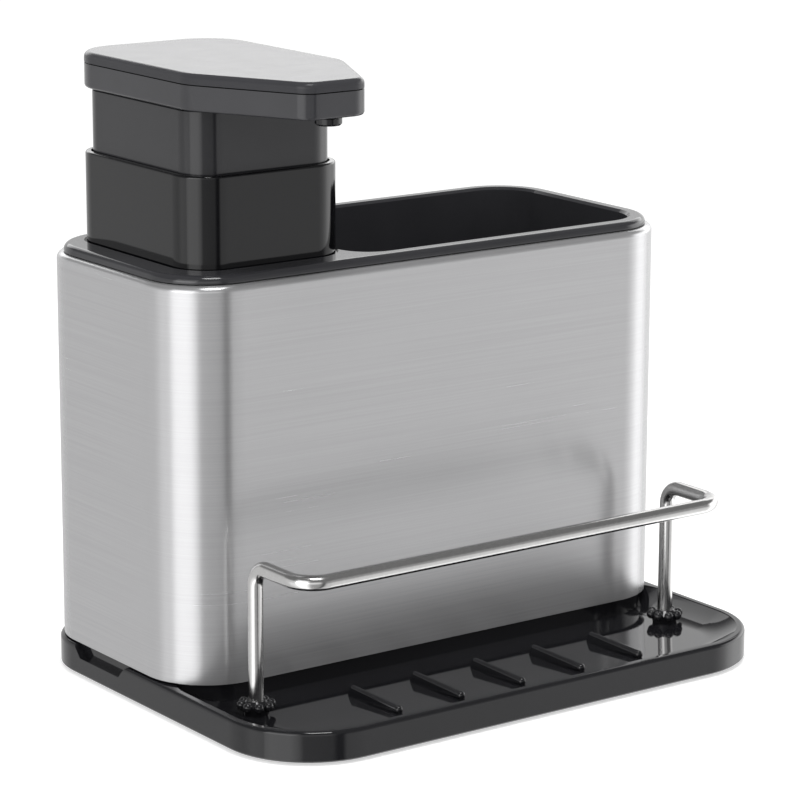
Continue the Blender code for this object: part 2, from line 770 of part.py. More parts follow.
def make_tray():
    corners = box_corners(TRAY_WIDTH, TRAY_DEPTH)
    radii = [TRAY_FRONT_CORNER, TRAY_FRONT_CORNER, TRAY_BACK_CORNER, TRAY_BACK_CORNER]
    outline = rounded_outline(corners, radii)
    tray = slab("base_tray", outline, (0, 0), TRAY_BOTTOM, TRAY_TOP, GLOSS_BLACK)
    round_edge_at(tray, TRAY_TOP, TRAY_EDGE)
    round_edge_at(tray, TRAY_BOTTOM, TRAY_FOOT_EDGE, 1)
    cut(tray, dish_loft("cutter_dish", TRAY_TOP + OVERRUN, 0))
    add(tray, plinth("extra_plinth", 0, TRAY_BOTTOM + TRAY_FOOT_EDGE, PLINTH_TOP))
    cut(tray, dish_loft("cutter_tray_hollow", -OVERRUN, TRAY_FLOOR))
    cut(tray, plinth("cutter_plinth", PLINTH_WALL, -OVERRUN, PLINTH_TOP - PLINTH_WALL))
    add(tray, *[rib(index) for index in range(RIB_COUNT)])
    add(tray, *tray_bosses())
    add(tray, *tray_webs())
    cut(tray, notch_cutter())
    hole = WIRE_RADIUS + POST_CLEARANCE
    for index, place in enumerate(post_places()):
        cut(tray, rod(f"cutter_post_{index + 1}", hole, place, -OVERRUN, PLINTH_TOP))


def make_feet():
    profile = [
        (0, FOOT_HEIGHT),
        (FOOT_RADIUS - FOOT_EDGE, FOOT_HEIGHT),
        (FOOT_RADIUS, FOOT_HEIGHT - FOOT_EDGE),
        (FOOT_RADIUS, FOOT_EDGE),
        (FOOT_RADIUS - FOOT_EDGE, 0),
        (0, 0),
    ]
    for index, place in enumerate(foot_places()):
        turned(f"foot_pad_{index + 1}", profile, place, RUBBER)


# Rail


def make_rail():
    side = RAIL_HALF_WIDTH
    corners = [
        (-side, RAIL_POST_Y, RAIL_FOOT),
        (-side, RAIL_POST_Y, RAIL_HEIGHT),
        (-side, RAIL_BAR_Y, RAIL_HEIGHT),
        (side, RAIL_BAR_Y, RAIL_HEIGHT),
        (side, RAIL_POST_Y, RAIL_HEIGHT),
        (side, RAIL_POST_Y, RAIL_FOOT),
    ]
    wire("wire_rail", rounded_path(corners, RAIL_BEND), WIRE_RADIUS, WIRE_RESOLUTION, BRIGHT_STEEL)


def lobed_outline():
    """A ring of round lobes that meet in narrow valleys."""
    points = []
    count = LOBE_COUNT * LOBE_STEPS
    for step in range(count):
        angle = 2 * math.pi * step / count
        swell = abs(math.sin(LOBE_COUNT * angle / 2))
        radius = CROWN_RADIUS - CROWN_VALLEY * (1 - swell)
        points.append((radius * math.cos(angle), radius * math.sin(angle)))
    return points


def make_ferrules():
    """Collars round the posts: a lobed crown on a narrower neck."""
    bottom = floor_height(RAIL_POST_Y) + FERRULE_LIFT
    top = bottom + FERRULE_HEIGHT
    crown_bottom = top - CROWN_HEIGHT
    neck_top = top - CROWN_HEIGHT / 2
    hole = WIRE_RADIUS + POST_CLEARANCE
    for name, place in zip(("rail_ferrule_left", "rail_ferrule_right"), post_places()):
        ferrule = slab(name, lobed_outline(), place, crown_bottom, top, GLOSS_BLACK)
        round_edge_at(ferrule, top, CROWN_EDGE, 2)
        round_edge_at(ferrule, crown_bottom, CROWN_EDGE, 1)
        add(ferrule, rod(f"extra_{name}_neck", FERRULE_NECK_RADIUS, place, bottom, neck_top, TURN_STEPS))
        cut(ferrule, rod(f"cutter_{name}", hole, place, bottom - OVERRUN, top + OVERRUN))


def make_nuts():
    """Push-on nuts that hold the posts from under the tray."""
    hole = WIRE_RADIUS + POST_CLEARANCE
    profile = [
        (NUT_RADIUS, NUT_TOP),
        (NUT_RADIUS, NUT_TOP - NUT_THICKNESS),
        (hole, NUT_BOTTOM),
        (hole, NUT_BOTTOM + NUT_THICKNESS),
    ]
    for name, place in zip(("rail_nut_left", "rail_nut_right"), post_places()):
        tube(name, profile, place, BRUSHED_STEEL)


# Housing


def make_steel_shell():
    """A folded steel wall, open below, with its top edge rolled in to a narrow flange."""
    outline = rounded_box(HOUSING_WIDTH, HOUSING_DEPTH, HOUSING_CORNER)
    shell = slab("steel_shell", outline, HOUSING_CENTRE, HOUSING_BOTTOM, HOUSING_TOP, BRUSHED_STEEL)
    open_end(shell, -1)
    open_end(shell, 1, STEEL_FLANGE)
    round_corners_over(shell, STEEL_ROLL)
    solidify(shell, STEEL)


def pocket_outline(grown):
    """The sponge pocket's rounded outline, wider by grown."""
    left, right = POCKET_LEFT, POCKET_RIGHT
    half_depth = HOUSING_DEPTH / 2 - POCKET_INSET
    corners = [(left, -half_depth), (right, -half_depth), (right, half_depth), (left, half_depth)]
    outer_corner = HOUSING_CORNER - POCKET_INSET
    radii = [POCKET_LEFT_CORNER, outer_corner, outer_corner, POCKET_LEFT_CORNER]
    return rounded_outline(corners, radii, -grown)


def well_outline(grown):
    """The soap well's rounded outline, wider by grown."""
    return rounded_box(COLLAR_WIDTH, COLLAR_DEPTH, COLLAR_CORNER, WELL_INSET - grown)


def tub(name, outline, centre, bottom, top):
    item = slab(name, outline, centre, bottom, top)
    round_edge_at(item, bottom, TUB_EDGE, TUB_STEPS)
    return item


def drain_cutters():
    """Drain holes through the pocket's floor, in rows."""
    middle = (POCKET_LEFT + POCKET_RIGHT) / 2
    cutters = []
    for row in range(DRAIN_ROWS):
        for column in range(DRAIN_COLUMNS):
            x = middle + (column - (DRAIN_COLUMNS - 1) / 2) * DRAIN_SPACING
            y = HOUSING_Y + (row - (DRAIN_ROWS - 1) / 2) * DRAIN_SPACING
            name = f"cutter_drain_{row + 1}_{column + 1}"
            cutters.append(rod(name, DRAIN_RADIUS, (x, y), 0, WELL_FLOOR + OVERRUN))
    return cutters


def deck_recess_cutter():
    """The shallow step in the rim round the pump collar."""
    inset = RIM_INSET + RIM_LIP
    left, right = inset - HOUSING_WIDTH / 2, DECK_RIGHT
    half_depth = HOUSING_DEPTH / 2 - inset
    corners = [(left, -half_depth), (right, -half_depth), (right, half_depth), (left, half_depth)]
    radii = [HOUSING_CORNER - inset, LEAST_RADIUS, LEAST_RADIUS, HOUSING_CORNER - inset]
    return slab("cutter_deck", rounded_outline(corners, radii), HOUSING_CENTRE, DECK_TOP, RIM_TOP + OVERRUN)


def mouth_cutter():
    """Rounds the pocket's mouth off at the top of the rim."""
    top = RIM_TOP + OVERRUN
    outline = pocket_outline(POCKET_MOUTH_EDGE)
    item = slab("cutter_mouth", outline, HOUSING_CENTRE, RIM_TOP - POCKET_MOUTH_EDGE, top)
    round_edge_at(item, RIM_TOP - POCKET_MOUTH_EDGE, POCKET_MOUTH_EDGE, 1)
    return item


def make_liner():
    """Rim and deck with the soap well and the sponge pocket hanging from them."""
    size = (HOUSING_WIDTH, HOUSING_DEPTH, HOUSING_CORNER)
    rim = rounded_box(*size, RIM_INSET)
    liner = slab("inner_liner", rim, HOUSING_CENTRE, RIM_BOTTOM, RIM_TOP, LINER_BLACK)
    round_edge_at(liner, RIM_TOP, RIM_EDGE)
    step = rounded_box(*size, STEEL_FLANGE + SLIDE_GAP)
    middle = (RIM_BOTTOM + RIM_TOP) / 2
    add(liner, slab("extra_step", step, HOUSING_CENTRE, RIM_TOP - DECK_THICKNESS, middle))
    add(liner, tub("extra_pocket", pocket_outline(LINER_WALL), HOUSING_CENTRE, LINER_BOTTOM, middle))
    add(liner, tub("extra_well", well_outline(LINER_WALL), PUMP_AXIS, LINER_BOTTOM, middle))
    top = RIM_TOP + OVERRUN
    cut(liner, tub("cutter_pocket", pocket_outline(0), HOUSING_CENTRE, WELL_FLOOR, top))
    cut(liner, tub("cutter_well", well_outline(0), PUMP_AXIS, WELL_FLOOR, top))
    cut(liner, mouth_cutter(), deck_recess_cutter())
    cut(liner, *drain_cutters())


# Pump


def collar_outline(inset):
    return rounded_box(COLLAR_WIDTH, COLLAR_DEPTH, COLLAR_CORNER, inset)


def make_collar():
    """The fixed sleeve: a spigot into the soap well, a plate for the barrel and a tall wall."""
    collar = slab("pump_collar", collar_outline(0), PUMP_AXIS, COLLAR_BOTTOM, COLLAR_TOP, PUMP_BLACK)
    round_edge_at(collar, COLLAR_TOP, COLLAR_EDGE)
    spigot = WELL_INSET + SPIGOT_GAP
    spigot_bottom = COLLAR_BOTTOM - SPIGOT_LENGTH
    add(collar, slab("extra_spigot", collar_outline(spigot), PUMP_AXIS, spigot_bottom, PLATE_TOP))
    bore = collar_outline(COLLAR_WALL)
    cut(collar, slab("cutter_collar", bore, PUMP_AXIS, PLATE_TOP, COLLAR_TOP + OVERRUN))
    throat = collar_outline(spigot + SPIGOT_WALL)
    plate_bottom = PLATE_TOP - COLLAR_PLATE
    cut(collar, slab("cutter_spigot", throat, PUMP_AXIS, spigot_bottom - OVERRUN, plate_bottom))
    cut(collar, groove_cutter())
    hole = BARREL_RADIUS + SEAT_GAP
    low = plate_bottom - OVERRUN
    cut(collar, rod("cutter_barrel", hole, PUMP_AXIS, low, PLATE_TOP + OVERRUN, TURN_STEPS))


def groove_cutter():
    """The groove round the spigot that holds the gasket."""
    top = COLLAR_BOTTOM - GASKET_DROP + SEAT_GAP
    bottom = top - GASKET_HEIGHT - 2 * SEAT_GAP
    groove = slab("cutter_groove", collar_outline(WELL_INSET), PUMP_AXIS, bottom, top)
    core = collar_outline(WELL_INSET + SPIGOT_GAP + GASKET_GROOVE_DEPTH)
    cut(groove, slab("cutter_groove_core", core, PUMP_AXIS, bottom - OVERRUN, top + OVERRUN))
    return groove


def make_gasket():
    top = COLLAR_BOTTOM - GASKET_DROP
    bottom = top - GASKET_HEIGHT
    gasket = slab("collar_gasket", collar_outline(WELL_INSET + SEAT_GAP), PUMP_AXIS, bottom, top, RUBBER)
    round_corners_over(gasket, GASKET_EDGE, 1)
    bore = collar_outline(WELL_INSET + SPIGOT_GAP + GASKET_GROOVE_DEPTH - SEAT_GAP)
    cut(gasket, slab("cutter_gasket", bore, PUMP_AXIS, bottom - OVERRUN, top + OVERRUN))


def make_barrel():
    barrel_bottom = CAGE_TOP - BARREL_FLOOR
    neck_bottom = SOCKET_TOP - NECK_SOCKET
    profile = [
        (BARREL_FLANGE, BARREL_TOP),
        (BARREL_FLANGE, FLANGE_BOTTOM),
        (BARREL_RADIUS, FLANGE_BOTTOM),
        (BARREL_RADIUS, barrel_bottom),
        (NECK_RADIUS, barrel_bottom - NECK_CONE),
        (NECK_RADIUS, neck_bottom),
        (NECK_THROAT, neck_bottom),
        (NECK_THROAT, SOCKET_TOP),
        (SEAT_RADIUS, SOCKET_TOP),
        (SEAT_RADIUS, SEAT_LOW),
        (CAGE_RADIUS, CAGE_BOTTOM),
        (CAGE_RADIUS, CAGE_TOP),
        (BARREL_BORE, CAGE_TOP),
        (BARREL_BORE, BARREL_TOP),
    ]
    tube("pump_barrel", profile, PUMP_AXIS, PLAIN_WHITE, TURN_STEPS)


def ring_profile(outer, bore, bottom, top):
    return [(outer, top), (outer, bottom), (bore, bottom), (bore, top)]


def make_dip_tube():
    profile = ring_profile(DIP_RADIUS, DIP_BORE, WELL_FLOOR + DIP_OFF_FLOOR, SOCKET_TOP - SEAT_GAP)
    tube("dip_tube", profile, PUMP_AXIS, PLAIN_WHITE)


def make_cap():
    """The cap over the barrel's flange, which guides the stem and seats the spring."""
    hole = STEM_RADIUS + SEAT_GAP
    flange_room = BARREL_FLANGE + SEAT_GAP
    profile = [
        (hole, CAP_TOP),
        (CAP_RADIUS - CAP_EDGE, CAP_TOP),
        (CAP_RADIUS, CAP_TOP - CAP_EDGE),
        (CAP_RADIUS, FLANGE_BOTTOM),
        (flange_room, FLANGE_BOTTOM),
        (flange_room, BARREL_TOP + SEAT_GAP),
        (hole, BARREL_TOP + SEAT_GAP),
    ]
    tube("barrel_cap", profile, PUMP_AXIS, PLAIN_WHITE, TURN_STEPS)


def make_retainer():
    """The ring that keeps the inlet ball in its cage."""
    top = CAGE_TOP - SEAT_GAP
    profile = ring_profile(CAGE_RADIUS - SEAT_GAP, RETAINER_BORE, top - RETAINER_HEIGHT, top)
    tube("inlet_retainer", profile, PUMP_AXIS, PLAIN_WHITE)


def seated_ball(name, radius, seat_low, seat_radius):
    """A valve ball just off a 45 degree cone seat, with the ball gap kept."""
    cone_tip = seat_low - seat_radius
    place = (*PUMP_AXIS, cone_tip + (radius + BALL_GAP) * math.sqrt(2))
    return ball(name, radius, place, BALL_STEPS, BALL_RINGS, BRIGHT_STEEL)


# Press head


def head_outline(inset=0.0):
    """The press head's plan: square at the back, drawn in to a blunt nose over the tray."""
    half = HEAD_WIDTH / 2
    nose = HEAD_NOSE_WIDTH / 2
    corners = [
        (-nose, -HEAD_NOSE),
        (nose, -HEAD_NOSE),
        (half, -HEAD_TAPER),
        (half, HEAD_BACK),
        (-half, HEAD_BACK),
        (-half, -HEAD_TAPER),
    ]
    nose_radius, taper, back = HEAD_NOSE_CORNER, HEAD_TAPER_CORNER, HEAD_BACK_CORNER
    return rounded_outline(corners, [nose_radius, nose_radius, taper, back, back, taper], inset)


def make_head_body():
    """An open tray of even wall, with holes for the stem and the nozzle."""
    body = slab("head_body", head_outline(), PUMP_AXIS, HEAD_BOTTOM, SEAM, PUMP_BLACK)
    round_edge_at(body, HEAD_BOTTOM, HEAD_EDGE)
    hollow = head_outline(HEAD_WALL)
    cut(body, slab("cutter_head", hollow, PUMP_AXIS, HEAD_FLOOR_TOP, SEAM + OVERRUN))
    low = HEAD_BOTTOM - OVERRUN
    high = HEAD_FLOOR_TOP + OVERRUN
    cut(body, rod("cutter_stem", STEM_RADIUS + SEAT_GAP, PUMP_AXIS, low, high, TURN_STEPS))
    cut(body, rod("cutter_nozzle", NOZZLE_SPIGOT + SEAT_GAP, (PUMP_X, NOZZLE_Y), low, high))


def make_head_cover():
    """The lid over the soap channel, with a tongue inside the head's wall."""
    cover = slab("head_cover", head_outline(), PUMP_AXIS, COVER_BOTTOM, COVER_TOP, COVER_BLACK)
    round_edge_at(cover, COVER_TOP, COVER_EDGE)
    tongue = HEAD_WALL + SEAT_GAP
    middle = (COVER_BOTTOM + COVER_TOP) / 2
    tongue_bottom = SEAM - COVER_TONGUE
    add(cover, slab("extra_tongue", head_outline(tongue), PUMP_AXIS, tongue_bottom, middle))
    hollow = head_outline(tongue + COVER_TONGUE_WIDTH)
    ceiling = COVER_TOP - COVER_PLATE
    cut(cover, slab("cutter_cover", hollow, PUMP_AXIS, tongue_bottom - OVERRUN, ceiling))
    half = NOZZLE_SPIGOT + SLIDE_GAP
    front = NOZZLE_Y - NOZZLE_INSET + HEAD_WALL
    low = (PUMP_X - half, front, SEAM - OVERRUN)
    cut(cover, block("cutter_tongue", low, (PUMP_X + half, NOZZLE_Y, ceiling)))


def make_skirt():
    """The sleeve under the press head, which slides inside the collar."""
    outline = collar_outline(SKIRT_INSET)
    skirt = slab("head_skirt", outline, PUMP_AXIS, SKIRT_BOTTOM, SKIRT_TOP, PUMP_BLACK)
    round_edge_at(skirt, SKIRT_TOP, SKIRT_EDGE, 1)
    hollow = collar_outline(SKIRT_INSET + SKIRT_WALL)
    ceiling = SKIRT_TOP - SKIRT_PLATE
    cut(skirt, slab("cutter_skirt", hollow, PUMP_AXIS, SKIRT_BOTTOM - OVERRUN, ceiling))
    hole = STEM_RADIUS + SEAT_GAP
    top = SKIRT_TOP + OVERRUN
    cut(skirt, rod("cutter_skirt_hole", hole, PUMP_AXIS, ceiling - OVERRUN, top, TURN_STEPS))


def make_stem():
    profile = ring_profile(STEM_RADIUS, STEM_BORE, CHAMBER_TOP + SEAT_GAP, STEM_TOP)
    tube("pump_stem", profile, PUMP_AXIS, PLAIN_WHITE, TURN_STEPS)


def make_piston():
    socket = STEM_RADIUS + SEAT_GAP
    groove_low = PISTON_BOTTOM + SEAL_LIFT - SEAT_GAP
    groove_high = groove_low + SEAL_HEIGHT + 2 * SEAT_GAP
    skirt_top = PISTON_BOTTOM + PISTON_SKIRT
    top = PISTON_BOTTOM + PISTON_HEIGHT
    profile = [
        (PISTON_HUB, top),
        (PISTON_HUB, skirt_top + (PISTON_RADIUS - PISTON_HUB)),
        (PISTON_RADIUS, skirt_top),
        (PISTON_RADIUS, groove_high),
        (SEAL_INNER - SEAT_GAP, groove_high),
        (SEAL_INNER - SEAT_GAP, groove_low),
        (PISTON_RADIUS, groove_low),
        (PISTON_RADIUS, PISTON_BOTTOM),
        (PISTON_INLET, PISTON_BOTTOM),
        (PISTON_INLET, PISTON_SEAT),
        (PISTON_CHAMBER, PISTON_SEAT + (PISTON_CHAMBER - PISTON_INLET)),
        (PISTON_CHAMBER, CHAMBER_TOP),
        (socket, CHAMBER_TOP),
        (socket, top),
    ]
    tube("piston", profile, PUMP_AXIS, PLAIN_WHITE, TURN_STEPS)


def make_seal():
    bottom = PISTON_BOTTOM + SEAL_LIFT
    middle = bottom + SEAL_HEIGHT / 2
    top = bottom + SEAL_HEIGHT
    crown = (SEAL_RADIUS + SEAL_INNER) / 2
    profile = [(crown, top), (SEAL_RADIUS, middle), (crown, bottom), (SEAL_INNER, middle)]
    tube("piston_seal", profile, PUMP_AXIS, RUBBER, TURN_STEPS)


def make_spring():
    """The return spring between the cap and the skirt."""
    low = CAP_TOP + SEAT_GAP + SPRING_WIRE
    high = SKIRT_TOP - SKIRT_PLATE - SEAT_GAP - SPRING_WIRE
    points = []
    steps = SPRING_TURNS * SPRING_STEPS
    for step in range(steps + 1):
        angle = 2 * math.pi * step / SPRING_STEPS
        x = PUMP_X + SPRING_RADIUS * math.cos(angle)
        y = PUMP_Y + SPRING_RADIUS * math.sin(angle)
        points.append((x, y, low + (high - low) * step / steps))
    wire("return_spring", points, SPRING_WIRE, SPRING_RESOLUTION, BRIGHT_STEEL)


def make_connector():
    """The elbow that turns the soap from the stem into the channel."""
    bottom = HEAD_FLOOR_TOP + SEAT_GAP
    top = bottom + CONNECTOR_HEIGHT
    shoulder = STEM_TOP + SEAT_GAP
    socket = STEM_RADIUS + SEAT_GAP
    roof = top - CONNECTOR_ROOF
    profile = [
        (0, top),
        (CONNECTOR_RADIUS, top),
        (CONNECTOR_RADIUS, bottom),
        (socket, bottom),
        (socket, shoulder),
        (CONNECTOR_CHAMBER, shoulder),
        (CONNECTOR_CHAMBER, roof),
        (0, roof),
    ]
    connector = turned("stem_connector", profile, PUMP_AXIS, PLAIN_WHITE)
    front = PUMP_Y - CONNECTOR_RADIUS - OVERRUN
    cut(connector, rod_along_y("cutter_connector_port", CHANNEL_BORE, PUMP_X, CHANNEL_Z, front, PUMP_Y))


def make_channel():
    """The tube that carries the soap forward to the nozzle."""
    back = PUMP_Y - CONNECTOR_RADIUS - SEAT_GAP
    front = NOZZLE_Y + NOZZLE_SPIGOT + SEAT_GAP
    profile = ring_profile(CHANNEL_RADIUS, CHANNEL_BORE, 0, back - front)
    channel = tube("soap_channel", profile, PUMP_AXIS, PLAIN_WHITE)
    channel.location = (PUMP_X, back, CHANNEL_Z)
    channel.rotation_euler.x = math.pi / 2


def make_nozzle():
    """The round spout under the nose, with a spigot up through the head's floor."""
    tip = HEAD_BOTTOM - NOZZLE_DROP
    shoulder = HEAD_BOTTOM - SEAT_GAP
    top = HEAD_FLOOR_TOP + SEAT_GAP + CONNECTOR_HEIGHT
    profile = [
        (0, top),
        (NOZZLE_SPIGOT, top),
        (NOZZLE_SPIGOT, shoulder),
        (NOZZLE_RADIUS, shoulder),
        (NOZZLE_RADIUS, tip + NOZZLE_EDGE),
        (NOZZLE_RADIUS - NOZZLE_EDGE, tip),
        (NOZZLE_BORE, tip),
        (NOZZLE_BORE, CHANNEL_Z),
        (0, CHANNEL_Z + NOZZLE_BORE),
    ]
    nozzle = turned("nozzle", profile, (PUMP_X, NOZZLE_Y), GLOSS_BLACK)
    back = NOZZLE_Y + NOZZLE_SPIGOT + OVERRUN
    cut(nozzle, rod_along_y("cutter_nozzle_port", NOZZLE_PORT, PUMP_X, CHANNEL_Z, NOZZLE_Y, back))


# Sliding groups

HOUSING_PIECES = ("steel_shell", "inner_liner")
PUMP_PIECES = (
    "pump_collar",
    "collar_gasket",
    "pump_barrel",
    "barrel_cap",
    "dip_tube",
    "inlet_retainer",
    "return_spring",
)
HEAD_PIECES = (
    "head_body",
    "head_cover",
    "head_skirt",
    "pump_stem",
    "piston",
    "piston_seal",
    "stem_connector",
    "soap_channel",
    "nozzle",
)


def gather(parent, names):
    """Parents pieces to an empty and leaves them where they are."""
    bpy.context.view_layer.update()
    for name in names:
        item = bpy.data.objects[name]
        item.parent = parent
        item.matrix_parent_inverse = parent.matrix_world.inverted()


def make_tray_group():
    make_tray()
    make_feet()
    make_rail()
    make_ferrules()
    make_nuts()


def make_pump_group():
    make_collar()
    make_gasket()
    make_barrel()
    make_dip_tube()
    make_cap()
    make_retainer()
    make_spring()


def make_head_group():
    make_head_body()
    make_head_cover()
    make_skirt()
    make_stem()
    make_piston()
    make_seal()
    make_connector()
    make_channel()
    make_nozzle()


def build():
    make_tray_group()
    make_steel_shell()
    make_liner()
    make_pump_group()
    make_head_group()
    inlet_ball = seated_ball("inlet_ball", INLET_BALL, SEAT_LOW, SEAT_RADIUS)
    outlet_ball = seated_ball("outlet_ball", OUTLET_BALL, PISTON_SEAT, PISTON_INLET)
    housing = add_empty("housing_slide", (*HOUSING_CENTRE, HOUSING_BOTTOM))
    pump = add_empty("pump_slide", (*PUMP_AXIS, COLLAR_BOTTOM))
    head = add_empty("head_slide", (*PUMP_AXIS, HEAD_BOTTOM))
    inlet = add_empty("inlet_slide", inlet_ball.location)
    outlet = add_empty("outlet_slide", outlet_ball.location)
    gather(housing, HOUSING_PIECES + (pump.name,))
    gather(pump, PUMP_PIECES + (head.name, inlet.name))
    gather(head, HEAD_PIECES + (outlet.name,))
    gather(inlet, [inlet_ball.name])
    gather(outlet, [outlet_ball.name])


build()
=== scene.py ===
"""The look of the soap dispenser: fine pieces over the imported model, materials, light and camera.

Metres, +Z up, the front towards -Y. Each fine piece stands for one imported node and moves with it.
"""

import json
import math

import bmesh
import bpy
from mathutils import Matrix, Vector

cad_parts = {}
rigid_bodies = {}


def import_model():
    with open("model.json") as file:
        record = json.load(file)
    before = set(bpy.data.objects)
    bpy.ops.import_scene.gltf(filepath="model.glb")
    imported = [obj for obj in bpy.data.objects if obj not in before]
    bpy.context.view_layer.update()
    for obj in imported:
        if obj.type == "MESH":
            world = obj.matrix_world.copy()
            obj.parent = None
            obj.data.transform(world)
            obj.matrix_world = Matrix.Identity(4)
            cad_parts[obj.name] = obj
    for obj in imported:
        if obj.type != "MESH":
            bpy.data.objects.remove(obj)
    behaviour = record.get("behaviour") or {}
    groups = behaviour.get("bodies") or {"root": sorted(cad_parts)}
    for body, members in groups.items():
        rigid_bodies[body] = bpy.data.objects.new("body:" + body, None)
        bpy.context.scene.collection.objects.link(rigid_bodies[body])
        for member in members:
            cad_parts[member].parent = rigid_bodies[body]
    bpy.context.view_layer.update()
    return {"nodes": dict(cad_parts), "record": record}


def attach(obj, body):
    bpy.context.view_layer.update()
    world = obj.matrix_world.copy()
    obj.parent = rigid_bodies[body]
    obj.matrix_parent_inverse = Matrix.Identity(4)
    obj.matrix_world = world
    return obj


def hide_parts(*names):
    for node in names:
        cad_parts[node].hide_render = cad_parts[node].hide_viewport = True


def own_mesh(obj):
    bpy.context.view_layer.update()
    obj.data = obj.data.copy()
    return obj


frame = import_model()
NODES = frame["nodes"]
RECORD = frame["record"]
BODY_OF = {node: body for body, names in RECORD["behaviour"]["bodies"].items() for node in names}

MM = 0.001

# Clearances
SEAT_GAP = 0.3 * MM
SLIDE_GAP = 0.6 * MM
OVERRUN = 2 * MM
WELD = 0.001 * MM
LEAST_RADIUS = 0.3 * MM

# Facets
CORNER_STEPS = 20
TURN_STEPS = 64
BORE_STEPS = 40
BEND_STEPS = 16
FILLET_STEPS = 6
TUB_STEPS = 6
WIRE_RESOLUTION = 12
SPRING_RESOLUTION = 6

# Tray under everything: an open shelf in front of the housing and a margin round it
TRAY_WIDTH = 175 * MM
SHELF_DEPTH = 48.7 * MM
TRAY_BACK_MARGIN = 2.7 * MM
TRAY_SIDE_MARGIN = 1 * MM
TRAY_FRONT_CORNER = 26.5 * MM
TRAY_BACK_CORNER = 23 * MM
TRAY_BOTTOM = 0.9 * MM
TRAY_HEIGHT = 8.6 * MM
TRAY_EDGE = 1.2 * MM
TRAY_FOOT_EDGE = 0.5 * MM
TRAY_WALL = 2.4 * MM
TRAY_FLOOR = 2.1 * MM
LIP_DROP = 0.3 * MM
DISH_RUN = 12 * MM
DISH_FRONT_RUN = 6 * MM
DISH_FRONT_DEPTH = 2.5 * MM
DISH_BACK_DEPTH = 4.2 * MM
DISH_BACK_CORNER = 16 * MM
DISH_UNDER_PLINTH = 18 * MM
DISH_RUN_STEPS = 18
DISH_CORNER_SHARE = 0.8

# Plinth that the housing sits over
PLINTH_INSET = 1.6 * MM
PLINTH_RISE = 3.2 * MM
PLINTH_WALL = 2.2 * MM
PLINTH_EDGE = 0.5 * MM
WEB_SPACING = 42 * MM
WEB_THICKNESS = 2 * MM
WEB_COUNT = 3

# Finger notch in the left rim of the tray
NOTCH_LENGTH = 28 * MM
NOTCH_RAMP = 3.5 * MM
NOTCH_DEPTH = 3.6 * MM
NOTCH_SHIFT = 5 * MM

# Drying ribs on the tray floor
RIB_COUNT = 5
RIB_SPACING = 21.2 * MM
RIB_FRONT_MARGIN = 10 * MM
RIB_BACK_MARGIN = 14.7 * MM
RIB_FRONT_RADIUS = 1.25 * MM
RIB_BACK_RADIUS = 0.9 * MM
RIB_ROOT_RADIUS = 1.5 * MM
RIB_DROP = 0.8 * MM
RIB_STEPS = 24
RIB_RINGS = 16

# Rubber feet
FOOT_RADIUS = 6 * MM
FOOT_HEIGHT = 2.4 * MM
FOOT_EDGE = 0.5 * MM
FOOT_BOSS_WALL = 1.5 * MM
FOOT_FRONT_SIDE = 29.5 * MM
FOOT_FRONT_MARGIN = 18 * MM
FOOT_BACK_SIDE = 16.5 * MM
FOOT_BACK_MARGIN = 19 * MM
BOSS_SUNK = 1 * MM

# Wire rail round the sponge space
WIRE_RADIUS = 2.15 * MM
RAIL_SIDE = 14.8 * MM
RAIL_BAR_MARGIN = 11.5 * MM
RAIL_RISE = 38.1 * MM
RAIL_BEND = 5.5 * MM
RAIL_CORNER = 7.5 * MM
POST_BACK_GAP = 13.2 * MM
POST_PROUD = 0.3 * MM
POST_BOSS_RADIUS = 5 * MM
POST_BOSS_LIFT = 2.5 * MM
POST_CLEARANCE = 0.35 * MM
NUT_RADIUS = 5.6 * MM
NUT_THICKNESS = 0.7 * MM
NUT_CONE = 0.2 * MM

# Beaded ferrules where the posts meet the tray
FERRULE_NECK_RADIUS = 3.5 * MM
FERRULE_HEIGHT = 4.3 * MM
FERRULE_LIFT = 0.1 * MM
LOBE_COUNT = 8
BEAD_RADIUS = 1.4 * MM
BEAD_REACH = 4.1 * MM
BEAD_DROP = 0.3 * MM
BEAD_STEPS = 20
BEAD_RINGS = 14

# Brushed steel housing
HOUSING_DEPTH = 80.6 * MM
HOUSING_CORNER = 20 * MM
HOUSING_HEIGHT = 111.8 * MM
STEEL = 0.8 * MM
STEEL_ROLL = 1.8 * MM
STEEL_FLANGE = 5 * MM
SHADOW_GAP = 0.6 * MM

# Moulded liner: rim, deck, soap well and sponge pocket
RIM_INSET = 2 * MM
RIM_HEIGHT = 2.2 * MM
RIM_EDGE = 1.9 * MM
DECK_DROP = 0.7 * MM
DECK_THICKNESS = 3.2 * MM
LINER_WALL = 1.6 * MM
LINER_FLOOR = 1.8 * MM
POCKET_INSET = 7.2 * MM
WALL_LAP = 0.2 * MM
POCKET_LEFT_CORNER = 10 * MM
TUB_EDGE = 2 * MM
POCKET_MOUTH_EDGE = 0.8 * MM
DRAIN_RADIUS = 2.5 * MM
DRAIN_SPACING = 16 * MM
DRAIN_ROWS = 2
DRAIN_COLUMNS = 5

